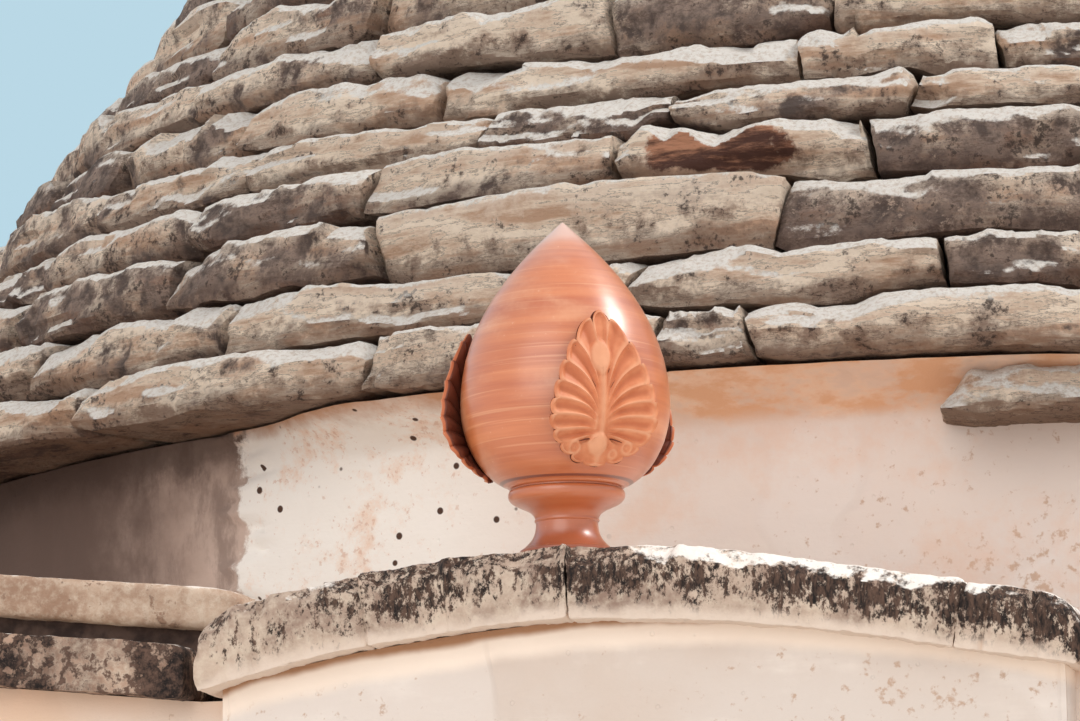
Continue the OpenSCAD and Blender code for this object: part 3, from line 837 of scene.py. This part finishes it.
# Painted shade on the lower bulb and round the collar
lower_bulb_painted_shade = (0.13 - height + clouds*0.05).between(0.0, 0.11)
# Painted shade at the foot and its neck
foot_painted_shade = (0.045 - height).between(0.0, 0.04)
# A paler tip: partly whitish bloom on the clay, partly painted sheen
tip_bloom_and_sheen = (height + clouds*0.08).between(0.385, 0.44)
# A second groove line above the collar, painted dark as the shade of a groove
groove_at = collar_z + 8*mm
in_groove = abs(height - groove_at)
coat(clay_shader, "Base Color", clay.under(
    (streaks.between(0.6, 0.7)*0.5, (234, 164, 118)),
    ((clouds*0.9 + dust*0.1).between(0.52, 0.72)*0.6, (232, 166, 126)),
    (lower_bulb_painted_shade*0.55, (184, 94, 52)),
    (foot_painted_shade*0.7, (146, 70, 42)),
    (tip_bloom_and_sheen*0.75, (230, 200, 186)),
    ((dust*0.7 + turned*0.3).between(0.62, 0.77), (236, 182, 150)),
    (1 - in_groove.between(0.0006, 0.0018), (128, 60, 38))))
coat(clay_shader, "Roughness", 0.34 + clouds*0.14)
emboss(clay_shader, turned*0.6 + dust*0.25, 0.12, 0.0014)
finial_base = (finial_x, finial_y, finial_z)
for name, node, profile in (("thrown_foot", "finial_foot", foot_profile),
                            ("thrown_bulb", "finial_bulb", bulb_profile)):
    piece = thrown(name, profile, 160, finial_base)
    shade(piece, 50, clay_finish)
    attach(piece, "root")
    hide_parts(node)

# Leaves of the finial
# Three palmettes pressed in one mould and stuck on by their midrib. Flutes arch out from the foot
# of the leaf like a fountain, between thin ridges, to scalloped lobes; the sides and the tip stand
# off the bulb, and the stalk ends in a boss between small scrolls.
leaf_half, leaf_up, leaf_down = 69*mm, 128*mm, 57*mm
leaf_z = 152*mm
leaf_full = 1.5
leaf_t = 5.5*mm
leaf_seat = 0.4*mm
leaf_lift = 5*mm
leaf_curl = 9*mm
# Arc lengths of the lobes, clockwise from the one at the tip
side_lobes = (38, 31, 28, 24, 21, 20, 20, 21, 22)
lobe_arcs = np.array((26,) + side_lobes + (30,) + side_lobes[::-1])
leaf_lobes = len(lobe_arcs)
leaf_turns = (("leaf_front", 35), ("leaf_right", 160), ("leaf_left", -90))
fount_v = -21*mm
rays, rings = leaf_lobes*14, 44
bpy.ops.object.select_all(action="DESELECT")
bpy.ops.mesh.primitive_grid_add(x_subdivisions=rays, y_subdivisions=rings, size=1)
mould = bpy.context.object
mould.name = "leaf_mould"
grid = points_of(mould)
around = np.clip(grid[:, 0] + 0.5, 0, 1)*leaf_lobes
along = 1 - (1 - np.clip(grid[:, 1] + 0.5, 0, 1))**1.35
lobe = np.floor(around + 0.5)
phase = np.clip(around + 0.5 - lobe, 0, 1)
lobe = np.mod(lobe, leaf_lobes)
egg_way = math.pi/2 - np.linspace(0, 2*math.pi, 2001)
upper = np.sin(egg_way) > 0
side_power = np.where(upper, 2/leaf_full, 1.0)
egg_u = leaf_half*np.sign(np.cos(egg_way))*np.abs(np.cos(egg_way))**side_power
egg_v = np.where(upper, leaf_up, leaf_down)*np.sign(np.sin(egg_way))*np.abs(np.sin(egg_way))**side_power
egg_run = np.concatenate([[0], np.cumsum(np.hypot(np.diff(egg_u), np.diff(egg_v)))])
lobe_ends = np.concatenate([[0], np.cumsum(lobe_arcs)])/lobe_arcs.sum()
run_share = np.interp(np.mod(around + 0.5, leaf_lobes), np.arange(leaf_lobes + 1), lobe_ends)
run = np.mod(run_share - lobe_ends[1]/2, 1)*egg_run[-1]
middle_lobe = np.mod(lobe, leaf_lobes/2) == 0
right_side = np.mod(around, leaf_lobes) < leaf_lobes/2
lean = np.where(middle_lobe, phase, np.where(right_side, phase, 1 - phase)**0.72)
scallop = np.sin(math.pi*lean)**0.6
notch = np.where(lobe == 0, 0.09, np.where(lobe == leaf_lobes/2, 0.02, 0.075))
rim = 1 - notch*(1 - scallop)
edge_u = rim*np.interp(run, egg_run, egg_u)
edge_v = rim*np.interp(run, egg_run, egg_v)


def mound(distance, width, power=2):
    """1 in the middle, falling off smoothly over a width."""
    return np.exp(-np.abs(distance/width)**power)


def oval_way(u, v, radius_u, radius_v):
    """How far points of the leaf lie from a place on it, 1 on an oval of two radii round it."""
    return np.hypot((leaf_u - u)/radius_u, (leaf_v - v)/radius_v)


# From the fount to the rim: each flute is a curve that rises and then bends out to its lobe
rise = edge_v - fount_v
below = ramp(-rise, 0, 30*mm)
pull_u = edge_u*(0.10 + 0.34*below)
pull_v = fount_v + rise*np.where(rise > 0, 0.78, 0.5) + 12*mm*mound(rise - 20*mm, 45*mm)
t, s = along, 1 - along
leaf_u = 2*s*t*pull_u + t*t*edge_u
leaf_v = s*s*fount_v + 2*s*t*pull_v + t*t*edge_v
# Where the flutes run: clear of the petal, of the midrib and of the stalk
petal = oval_way(-3*mm, 70*mm, 13*mm, 20*mm)
free = np.minimum(ramp(petal, 0.95, 0.2), ramp(np.abs(leaf_u), 4*mm, 3*mm))*ramp(t, 0.14, 0.26)
fluted = free*ramp(t, 0.2, 0.35)*np.maximum(ramp(leaf_v, -36*mm, 9*mm), 0.12)
# Flutes, the ridges between them, the rim, the midrib, the petal, the boss and the stalk's crease
relief = 2.2*mm*np.cos(2*math.pi*phase)*fluted*(1 - 0.35*ramp(t, 0.9, 0.1))
relief += 1.2*mm*mound(np.minimum(phase, 1 - phase), 0.1)*fluted
relief += 3.0*mm*mound(t - 0.965, 0.028)*scallop
relief += 3.0*mm*mound(leaf_u, 5*mm)*(1 - ramp(leaf_v, 44*mm, 30*mm))
relief += 3.4*mm*(1 - ramp(petal, 0.78, 0.34))**0.7
relief += 5.5*mm*mound(oval_way(-3*mm, -33*mm, 12.5*mm, 12*mm), 1, 6)
relief += 2.5*mm*mound(oval_way(-8*mm, -8*mm, 2.5*mm, 13*mm), 1)
scroll_line = 2.4*mm
for scroll_u, scroll_v, scroll_r in ((-31, -38, 6.5), (18, -44, 4.5), (34, -37, 5.5)):
    away = np.hypot(leaf_u - scroll_u*mm, leaf_v - scroll_v*mm)
    relief += 2.8*mm*mound(away - scroll_r*mm, scroll_line) + 2.0*mm*mound(away, scroll_line)
# How far the leaf's outer face stands from the finial's axis
stand = np.interp(leaf_z + leaf_v, bulb_line[:, 1], bulb_line[:, 0])
stand = stand + leaf_seat + leaf_lift*(leaf_u/leaf_half)**2
stand += leaf_curl*(np.maximum(leaf_v, 0)/leaf_up)**3 + leaf_t + relief
move_points(mould, np.column_stack([leaf_u, -stand, leaf_z + leaf_v]))
height_attribute(mould, np.clip((relief + 3.5*mm)/(8*mm), 0, 1))
pick(mould, "vertices")
bpy.ops.mesh.remove_doubles(threshold=0.00001)
bpy.ops.mesh.normals_make_consistent(inside=False)
close()
if normals_of(mould)[:, 1].mean() > 0:
    pick(mould, "polygons")
    bpy.ops.mesh.flip_normals()
    close()
apply_modifier(mould, "SOLIDIFY", thickness=leaf_t, offset=-1, use_even_offset=False)
# The inner face is marked with -1, for painted shade on the inner face and along the rim
leaf_shares = np.empty(len(mould.data.vertices), np.float32)
mould.data.attributes["height_share"].data.foreach_get("value", leaf_shares)
leaf_shares[len(leaf_shares)//2:] = -1.0
mould.data.attributes["height_share"].data.foreach_set("value", leaf_shares)
weather(mould, 0.008, 0.0006)
shade(mould, 65)
pressed = points_of(mould)
leaf_finish, leaf_shader, leaf_point = new_finish("pressed_terracotta", 0.5)
leaf_dust = leaf_point.noise(70.0, 5.0, 0.6)
leaf_cloud = leaf_point.noise(14.0, 3.0, 0.5)
leaf_colour = (leaf_cloud*0.6 + leaf_dust*0.4).between(0.4, 0.62).blend((206, 122, 82),
                                                                         (224, 146, 104))
leaf_height = leaf_point.node("Attribute", {"attribute_name": "height_share"}, {}, "Fac")
# Painted shade in the flutes' hollows, a painted highlight on the ridges, and painted shade on the inner
# face and rim
inside_painted_shade = leaf_height.between(-0.75, -0.25)
coat(leaf_shader, "Base Color", leaf_colour.under(
    (1 - leaf_height.between(0.0, 0.5), (196, 110, 72)),
    (leaf_height.between(0.55, 0.95)*0.6, (238, 178, 140)),
    (1 - inside_painted_shade, (112, 60, 44))))
for name, turn_degrees in leaf_turns:
    leaf = mould.copy()
    leaf.data = mould.data.copy()
    leaf.name = "pressed_" + name
    bpy.context.scene.collection.objects.link(leaf)
    spots = pressed.copy()
    spots[:, :2] = rotated(pressed[:, :2], math.radians(turn_degrees))
    move_points(leaf, np.clip(spots + np.array(finial_base), cad_box[0], cad_box[1]))
    leaf.data.materials.append(leaf_finish)
    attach(leaf, "root")
    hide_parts(name)
bpy.data.objects.remove(mould)

# Drum
# The round wall under the eaves, plastered and limewashed like the walls. An ochre fillet of mortar
# seals it to the eaves stones. Left of the front coat and fillet have fallen off the grey undercoat.
drum_low, drum_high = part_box("drum_front")
fillet_out, fillet_h = 0.110, 0.060
drum_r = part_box("drum_right")[1].x - fillet_out
drum_depth = 0.14
# Bearings from the front, in radians: where the bare stretch starts and ends, and its soft end
bare_from, bare_to, bare_fade = -0.432, -1.2, 0.11
bpy.ops.object.select_all(action="DESELECT")
bpy.ops.mesh.primitive_cylinder_add(vertices=640, radius=drum_r, depth=drum_high.z - drum_low.z,
                                    end_fill_type="NOTHING")
drum = bpy.context.object
drum.name = "drum_plaster"
move_points(drum, points_of(drum) + np.array((0, axis_y, (drum_low.z + drum_high.z)/2)))
cut_across(drum, 2, 49)
spots = points_of(drum)
share = (spots[:, 2] - drum_low.z)/(drum_high.z - drum_low.z)
spots[:, 2] = drum_low.z + (drum_high.z - drum_low.z)*(1 - (1 - share)**1.5)
bearings = np.arctan2(spots[:, 0], axis_y - spots[:, 1])
ragged_edge = 0.02*np.sin(spots[:, 2]*61) + 0.012*np.sin(spots[:, 2]*173 + 1)
on_left = ramp(bearings, bare_to, bare_fade)
fallen = ramp(bare_from + 0.01 + ragged_edge - bearings, 0, 0.012)*on_left
tapered = ramp(bearings, bare_from + 0.004, 0.15)
tapered = 1 - on_left*(1 - tapered*tapered*(3 - 2*tapered))
climb_share = ramp(spots[:, 2], drum_high.z - fillet_h, fillet_h)
out = (fillet_out - coat_thick)*climb_share**1.5*tapered - coat_thick*fallen
spots[:, :2] = (0, axis_y) + (spots[:, :2] - (0, axis_y))*(1 + out/drum_r)[:, None]
move_points(drum, spots)
weather(drum, 0.5, 0.016)
weather(drum, 0.14, 0.011)
weather(drum, 0.035, 0.002)
apply_modifier(drum, "SOLIDIFY", thickness=drum_depth, offset=-1, use_even_offset=False)
spots = points_of(drum)
spots[:, 2] = np.clip(spots[:, 2], drum_low.z, drum_high.z)
move_points(drum, spots)
shade(drum, 50)
drum_finish, drum_shader, drum_point, drum_colour = lime_plaster(
    "drum_limewash", (236, 221, 210), (233, 220, 212), (206, 178, 158))
centred = drum_point.node("VectorMath", {"operation": "SUBTRACT"}, {0: drum_point, 1: (0, axis_y, 0)})
bearing = centred.math("ARCTAN2", centred.part("X"), centred.part("Y")*-1.0)
drum_z = drum_point.part("Z")
ragged = drum_point.noise(8.0, 7.0, 0.7)
# Peach tints all over, and fresh lime with ochre blushes and flecks at the front's left
at_left = 1 - bearing.between(-0.26, -0.12)
peach = drum_point.noise(4.0, 6.0, 0.62)*0.6 + ragged*0.4
limy = at_left*(0.7 + peach*0.3)
blushes = drum_point.noise(20.0, 7.0, 0.7)*0.6 + peach*0.4
flecks = (drum_point.noise(120.0, 4.0, 0.65)*0.55 + blushes*0.45).between(0.555, 0.6)*at_left*0.4
# The ochre fillet, smeared over the coat
ochre_line = drum_high.z - 0.058 + at_left*0.047 + (ragged - 0.5)*0.045
ochre = (drum_z - ochre_line).between(-0.012, 0.016)
smeared = drum_point.noise(13.0, 6.0, 0.62, stretch=(1, 1, 2.4))
ochre_tone = smeared.between(0.4, 0.6).blend((236, 184, 146), (248, 212, 185))
ochre_tone = ((peach*0.5 + smeared*0.5).between(0.5, 0.6)*0.5).blend(ochre_tone, (222, 196, 182))
ochre_tone = (at_left*0.8).blend(ochre_tone, (188, 138, 104))
# Browner towards the drum's foot, next to the kerb and the coping
browner_at_foot = drum_low.z + 0.07 - drum_z + (ragged - 0.5)*0.16 - bearing.between(-0.42, -0.25)*0.05
# The bare stretch: grey undercoat, washed in streaks, with painted shade making it darker towards the left
# and under the eaves
bare = (bearing*-1.0 + (ragged - 0.5)*0.10).between(-bare_from - 0.004, -bare_from + 0.006)
bare_end = bare_to + bare_fade
bare = bare*(bearing + (ragged - 0.5)*0.3).between(bare_end, bare_end + 0.02)
under_coat = drum_point.noise(5.0, 5.0).between(0.3, 0.7).blend((168, 144, 131), (206, 182, 168))
washed = drum_point.noise(20.0, 7.0, 0.68, stretch=(1, 1, 0.45))
eaves_painted_shade = (drum_z - drum_high.z + 0.07 + (ragged - 0.5)*0.12).between(0.0, 0.05)
# Painted shade: darker further left and under the eaves
under_coat = under_coat.under(
    ((bearing*-1.0 + (ragged - 0.5)*0.2).between(0.47, 0.62), (108, 88, 79)),
    (washed.between(0.42, 0.62)*0.55, (112, 91, 82)),
    (eaves_painted_shade*0.7, (84, 66, 58)))
# Round holes at the edge of the sound coat
hole_r = 0.06 + drum_point.noise(9.0, 2.0)*0.14
holes = (drum_point.cells(25.0) - hole_r).between(-0.025, 0.015)
pitted = (1 - holes)*bearing.between(-0.44, -0.42)*(1 - bearing.between(-0.15, -0.1))
coat(drum_shader, "Base Color", drum_colour.under(
    (peach.between(0.5, 0.68)*0.45, (234, 194, 168)),
    (limy, (255, 250, 242)),
    (blushes.between(0.49, 0.64)*at_left*0.6, (240, 196, 164)),
    (flecks, (206, 156, 126)),
    (ochre, ochre_tone),
    (browner_at_foot.between(-0.02, 0.05), (202, 156, 124)),
    (bare, under_coat),
    (pitted, (84, 60, 48))))
drum.data.materials.append(drum_finish)
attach(drum, "root")
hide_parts("drum_front", "drum_right", "drum_back", "drum_left")

# Corbelled vault
# Rings of rough limestone, each reaching a little further in than the one below, closed by a
# slab. They carry the roof and show only from inside.
vault_finish = old_limestone(
    "vault_limestone", (206, 190, 168), (168, 150, 132), (110, 94, 82), -0.02, 1.0)[0]
for name in ("vault_ring_1", "vault_ring_2", "vault_ring_3", "vault_ring_4", "closing_slab"):
    dress(name, vault_finish)

# Roof courses
# Twenty-eight rings of flat limestones, split with a hammer and laid dry, each ring set back on
# the one below. Their broken faces are grey with lichen or still cream, their upper edges white.
band_low, band_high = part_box("course_band_1")
eaves_r = band_high.x
eaves_z = band_low.z
bands = 4
band_courses = 7
courses = bands*band_courses
course_h = (band_high.z - band_low.z)/band_courses
setback = (eaves_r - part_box("course_band_2")[1].x)/band_courses
batter = 0.024
stone_depth = 0.2
# Stones of the left flank are painted darker by this factor, as painted shade
left_flank_painted_shade = 0.8
# Bed heights at the front, in millimetres off an even course
front_beds = (0, -3, -7, 15, 15, -8, -16, -6, 4, 0)
# Joints at the front in degrees from the gable's middle, and how cream each stone between them is
front_stones = (
    ((-41, -30.5, -15.3, -10.1, -3.1, 0.5, 16, 23), (0.45, 0.55, 0.42, 0.5, 0.4, 0.62, 0.5)),
    ((-36, -24, -9.8, -4.7, 7.9, 14.2, 20), (0.5, 0.85, 0.85, 0.8, 0.2, 0.5)),
    ((-41, -29, -17.4, 1.1, 17.5, 25), (0.3, 0.3, 0.9, 0.12, 0.5)),
    ((-42, -29.7, -19.2, -6.7, 4.7, 15.2, 22), (0.45, 0.3, 0.55, 0.85, 0.15, 0.4)),
    ((-40, -28.3, -14.3, -4.8, 6.5, 18, 25), (0.55, 0.6, 0.15, 0.45, 0.85, 0.5)),
    ((-43, -31.1, -18.1, 0.9, 10.4, 18), (0.5, 0.7, 0.8, 0.6, 0.5)),
    ((-38, -24, -9.6, 2.3, 16.5, 23), (0.5, 0.8, 0.15, 0.85, 0.5)),
    ((-40, -26, -13, -2, 9, 19), (0.3, 0.6, 0.7, 0.5, 0.7)),
)
rust_stone = (3, 3)
# The stone that hangs under the eaves at the right, in degrees
low_stone_from, low_stone_to = 7.6, 17
dice = np.random.default_rng(28)
random.seed(28)
# Every bed rises and sinks by up to a centimetre between chance places round the cone
bed_places = 84
bed_knots = [np.sort(dice.uniform(-math.pi, math.pi, bed_places)) for _ in range(courses + 1)]
bed_steps = [dice.uniform(-0.010, 0.010, bed_places) for _ in range(courses + 1)]


def bed_at(course, way):
    """Height of the bed under a course at a direction round the cone."""
    near = mound(way, 0.6)
    front = front_beds[course]*mm if course < len(front_beds) else 0.0
    wander = 0.006*np.sin(3*way + 1.7*course) + 0.004*np.sin(7*way + 2.9*course)
    uneven = np.interp(way, bed_knots[course], bed_steps[course], period=2*math.pi)
    free = 0.0 if course in (0, courses) else 1.0
    return eaves_z + course*course_h + front*near + free*(wander*(1 - 0.7*near) + uneven)


def stone_block(cuts):
    """A block of unit size, cut into a net: the start of every stone of one fineness."""
    block = start_block("stone_block", (0, 0, 0), (1, 1, 1))
    for axis in range(3):
        cut_across(block, axis, cuts[axis])
    spots = points_of(block)
    faces = np.array([face.vertices[:] for face in block.data.polygons])
    bpy.data.objects.remove(block)
    spots[:, 1] = spots[:, 1]**1.8
    return spots, faces


blocks = {"fine": stone_block((55, 3, 14)), "middle": stone_block((15, 2, 5)),
          "plain": stone_block((5, 1, 2))}


def ring_joints(course):
    """All joints of a course in degrees, with each stone's tone: those of the front, then the rest."""
    ring_r = eaves_r - course*setback
    if course < len(front_stones):
        marks, tones = (list(row) for row in front_stones[course])
    else:
        marks, tones = [random.uniform(-180, -140)], []
    end = marks[0] + 360
    while marks[-1] < end - 1e-6:
        step = math.degrees(random.uniform(0.2, 0.48)/ring_r)
        if marks[-1] + 1.6*step > end:
            step = end - marks[-1]
        marks.append(marks[-1] + step)
        tones.append(random.choice((0.15, 0.25, 0.35, 0.45, 0.55, 0.75)))
    return marks, tones


def lay_stone(spots, start, end, low_bed, high_bed, ring_r, left_tilt=0.0, right_tilt=0.0, wedge=0.0):
    """Bends a block into one stone of a course, with chipped edges and facets where it split."""
    u, v, w = spots.T
    from_left = dice.uniform(0.0005, 0.002) + broken_line(w, 2, 0.005) + left_tilt*(w - 0.5)
    from_right = dice.uniform(0.0005, 0.002) + broken_line(w, 2, 0.005) - right_tilt*(w - 0.5)
    x = from_left + u*((end - start)*ring_r - from_left - from_right)
    way = start + x/ring_r
    left, right = x - from_left, (end - start)*ring_r - from_right - x
    to_end = np.minimum(left, right)
    chipped = np.minimum(left/dice.uniform(0.02, 0.09), right/dice.uniform(0.02, 0.09))
    chipped = 1 - ramp(chipped, 0, 1)
    low_gap = 0.001 + broken_line(u, 6, 0.006) + chipped*dice.uniform(0, 0.010)
    high_gap = 0.001 + broken_line(u, 8, 0.008) + chipped*dice.uniform(0, 0.017)
    high_gap = high_gap + np.clip(wedge - left, 0, None)
    low, high = low_bed(way) + low_gap, high_bed(way) - high_gap
    high = np.maximum(high, low + 0.008)
    z = low + w*(high - low)
    half_long, half_high = (x.max() - x.min())/2, course_h/2
    across, above = x - x.min() - half_long, (w - 0.5)*2*half_high
    # A tilted face, split off on up to six planes, with five scars where chips sprang off
    face = across*dice.uniform(-0.05, 0.05) + above*dice.uniform(-0.2, 0.12)
    for k in range(6):
        slope_x = dice.uniform(-0.05, 0.05)/half_long
        slope_z = dice.uniform(-0.03, 0.03)/half_high
        edge = dice.uniform(0.3, 0.85)*(abs(slope_x)*half_long + abs(slope_z)*half_high)
        face = np.minimum(face, edge - slope_x*across - slope_z*above)
    for k in range(5):
        reach_x, reach_z = dice.uniform(0.025, 0.11), dice.uniform(0.012, 0.035)
        scar = (across - dice.uniform(-1, 1)*half_long)**2/reach_x**2
        scar = scar + (above - dice.uniform(-1, 1)*half_high)**2/reach_z**2
        face = face - np.clip(1 - scar, 0, 1)*dice.uniform(0.003, 0.012)
    # Edges worn back: the upper, the lower and the two ends
    crust = half_high - 0.002 - broken_line(u, 11, dice.uniform(0.004, 0.04))
    face = face - np.clip(above - crust, 0, None)*dice.uniform(0.7, 1.5)
    under = 0.002 - half_high + broken_line(u, 8, 0.022)
    face = face - np.clip(under - above, 0, None)*dice.uniform(0.5, 1.3)
    face = face - np.clip(0.002 + broken_line(w, 3, 0.008) - to_end, 0, None)
    r = ring_r - w*batter + dice.uniform(-0.014, 0.004) + face*(1 - v) - v*stone_depth
    return np.column_stack([r*np.sin(way), axis_y - r*np.cos(way), z])


def built_band(name, laid, faces):
    """One mesh of all the stones of one fineness, each with its tone kept on its vertices."""
    spots = np.vstack([row[0] for row in laid])
    size = len(laid[0][0])
    mesh = bpy.data.meshes.new(name)
    mesh.from_pydata(spots.tolist(), [], np.vstack([faces + k*size for k in range(len(laid))]).tolist())
    tones = mesh.attributes.new("stone_tone", "FLOAT_COLOR", "POINT")
    rows = np.vstack([row[1] for row in laid]).astype(np.float32)
    tones.data.foreach_set("color", rows.ravel())
    piece = bpy.data.objects.new(name, mesh)
    bpy.context.scene.collection.objects.link(piece)
    return piece


roof_finish, roof_shader, roof_point = new_finish("roof_limestone", 0.92)
grade = roof_point.node("Attribute", {"attribute_name": "stone_tone"}, {}, "Color")
tone = grade.part("X")
rust = grade.part("Y")
own = grade.part("Z")
up_stone = roof_point.node("Attribute", {"attribute_name": "stone_tone"}, {}, "Alpha")
own_place = roof_point.node("VectorMath", {"operation": "ADD"}, {0: roof_point, 1: own*9.0})
broad = roof_point.noise(2.6, 3.0, 0.5)
patch = own_place.noise(8.0, 6.0, 0.62)
mottle = own_place.noise(27.0, 9.0, 0.7)
strata = own_place.noise(7.0, 9.0, 0.68, stretch=(0.8, 0.8, 4.2))
grain = roof_point.noise(130.0, 5.0, 0.72)
normal_z = roof_point.node("NewGeometry", {}, {}, "Normal").part("Z")
# Grey lichened stone or cream split stone, with brown earth in the strata
pale = tone*0.42 + broad*0.25 + patch*0.8 + mottle*0.4 + 0.055
grey = mottle.between(0.36, 0.64).blend((98, 83, 76), (174, 150, 135))
grey = (patch*0.5 + grain*0.5).between(0.53, 0.62).blend(grey, (198, 172, 153))
cream = strata.between(0.38, 0.56).blend((206, 168, 140), (255, 235, 212))
stone = pale.between(0.87, 0.985).blend(grey, cream)
brown = strata*0.45 + patch*0.2 + mottle*0.35 - normal_z*0.08
# Each stone darker at its foot, partly earth and lichen and partly painted shade, and paler at its crown;
# thin dark layers, lichen, rust, and white upper edges that are partly weathered pale and partly painted
# sunlight
foot_of_stone = (0.5 - up_stone + (mottle - 0.5)*1.5 + (patch - 0.5)*0.8).between(0.0, 0.34)
crown = (up_stone - 0.62 + (mottle - 0.5)*1.3 + (patch - 0.5)*0.8).between(0.0, 0.3)
off_layer = abs(strata - 0.52)
lichen = mottle*0.5 + grain*0.35 + patch*0.15 - tone*0.03
ruddy = (rust + (mottle - 0.5)*1.6).between(0.35, 0.6)
rusty = strata.between(0.42, 0.57).blend((88, 56, 45), (200, 142, 110))
# White upper edges on faces that look up: partly weathered stone, partly painted sunlight
white = normal_z*0.5 + mottle*0.3 + patch*0.25 + grain*0.1
white_edge = grain.between(0.35, 0.55).blend((226, 212, 198), (250, 244, 236))
coat(roof_shader, "Base Color", stone.under(
    (brown.between(0.505, 0.585)*0.6, (148, 106, 83)),
    (foot_of_stone*0.5, (92, 67, 56)),
    (crown*0.5, (254, 236, 216)),
    ((1 - off_layer.between(0.002, 0.014))*0.55, (88, 66, 56)),
    (lichen.between(0.52, 0.58)*0.85, (66, 53, 48)),
    (ruddy, rusty),
    (white.between(0.572, 0.65), white_edge)))
emboss(roof_shader, mottle*0.9 + strata*0.8 + grain*0.4 + patch*0.3, 1.0, 0.02)


def stone_colours(spots, shade_of, rust_share=0.0):
    """A stone's tone, its rust stain, its own share of chance and the height in it, for each vertex."""
    stain = ((spots[:, 0] - 0.42)/0.3)**4 + ((spots[:, 2] - 0.5)/0.42)**4
    ones = np.ones(len(spots))
    return np.column_stack([shade_of*ones, rust_share*np.exp(-stain), random.random()*ones, spots[:, 2]])


def lay_course(course, laid):
    """Lays the stones of one course into the lists of its band."""
    marks, tones = ring_joints(course)
    ring_r = eaves_r - course*setback
    tilts = [random.uniform(-0.02, 0.02) for _ in marks]
    tilts[-1] = tilts[0]
    for k, (start, end, shade_of) in enumerate(zip(marks[:-1], marks[1:], tones)):
        middle = ((start + end)/2 + 180) % 360 - 180
        # The stretch above the gable is cut finest, and what else shows from the lane is coarser
        fineness = "plain"
        if -100 < middle < 70 and course < 14:
            fineness = "middle"
        if -50 < middle < 22 and course < 9:
            fineness = "fine"
        # Painted shade on the left flank
        if middle < -33 and course > 1:
            shade_of *= left_flank_painted_shade
        spots = blocks[fineness][0]
        laid_spots = lay_stone(spots, math.radians(start), math.radians(end),
                               lambda way: bed_at(course, way), lambda way: bed_at(course + 1, way),
                               ring_r, tilts[k], tilts[k + 1])
        rust_share = 1.0 if (course, k) == rust_stone else 0.0
        laid[fineness].append((laid_spots, stone_colours(spots, shade_of, rust_share)))


for band in range(bands):
    laid = {"fine": [], "middle": [], "plain": []}
    for course in range(band*band_courses, (band + 1)*band_courses):
        lay_course(course, laid)
    if band == 0:
        spots = blocks["fine"][0]
        low_stone = lay_stone(spots, math.radians(low_stone_from), math.radians(low_stone_to),
                              lambda way: eaves_z - 0.080 + 0*way, lambda way: eaves_z - 0.006 + 0*way,
                              eaves_r - 0.02, wedge=0.04)
        laid["fine"].append((low_stone, stone_colours(spots, 0.65)))
    parts = []
    for fineness, rows in laid.items():
        if not rows:
            continue
        part = built_band("stones", rows, blocks[fineness][1])
        weather(part, 0.12, 0.010)
        if fineness == "fine":
            weather(part, 0.035, 0.008)
            weather(part, 0.013, 0.004)
        parts.append(part)
    stones = join(f"roof_stones_{band + 1}", parts)
    shade(stones, 32, roof_finish)
    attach(stones, "root")
    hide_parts(f"course_band_{band + 1}")

# Cap slab and pinnacle
# A round flat stone closes the cone. On it a small cone, a disc and a ball are built up in
# plaster over stone and painted with limewash, the mark of the mason who built the roof.
cap_low, cap_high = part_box("cap_slab")
cone_low, cone_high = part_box("pinnacle_cone")
disc_low, disc_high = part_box("pinnacle_disc")
ball_low, ball_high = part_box("pinnacle_ball")
cap_r = cap_high.x
cap_t = cap_high.z - cap_low.z
cap_profile = np.vstack([
    [(0, 0)],
    sweep((cap_r - 0.014, 0), (cap_r + 0.002, 0.004), (cap_r + 0.002, cap_t - 0.004),
          (cap_r - 0.016, cap_t), 10),
    [(cap_r*k/8, cap_t) for k in range(7, -1, -1)]])
cap = thrown("cap_stone", cap_profile, 96, (0, axis_y, cap_low.z))
weather(cap, 0.07, 0.01)
weather(cap, 0.03, 0.004, "VORONOI_F1")
shade(cap, 50, cornice_finish)
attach(cap, "root")
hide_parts("cap_slab")

white_finish = lime_plaster(
    "pinnacle_limewash", (228, 220, 208), (234, 228, 218), (168, 152, 136))[0]
pin_r, pin_top_r = cone_high.x, 0.07
pin_h = cone_high.z - cone_low.z
disc_r, disc_t = disc_high.x, disc_high.z - disc_low.z
ball_r = ball_high.x
ball_h = ball_high.z - ball_low.z
sink = 2*ball_r - ball_h
swing = np.linspace(math.acos(1 - sink/ball_r), math.pi, 28)
pinnacle_profiles = (
    ("pinnacle_plaster_cone", "pinnacle_cone", cone_low.z, np.vstack([
        [(0, 0), (pin_r - 0.004, 0)],
        sweep((pin_r, 0.004), (pin_r*0.86, pin_h*0.3), (pin_top_r*1.3, pin_h*0.7), (pin_top_r, pin_h), 20),
        [(0, pin_h)]])),
    ("pinnacle_plaster_disc", "pinnacle_disc", disc_low.z, np.vstack([
        [(0, 0)], sweep((disc_r - 0.016, 0), (disc_r + 0.005, 0), (disc_r + 0.005, disc_t),
                        (disc_r - 0.016, disc_t), 12), [(0, disc_t)]])),
    ("pinnacle_plaster_ball", "pinnacle_ball", ball_low.z, np.vstack([
        [(0, 0)], np.column_stack([ball_r*np.sin(swing), ball_r - sink - ball_r*np.cos(swing)])])),
)
for name, node, base_z, profile in pinnacle_profiles:
    profile[-1, 0] = 0.0
    piece = thrown(name, profile, 96, (0, axis_y, base_z))
    weather(piece, 0.06, 0.003)
    shade(piece, 50, white_finish)
    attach(piece, "root")
    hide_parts(node)
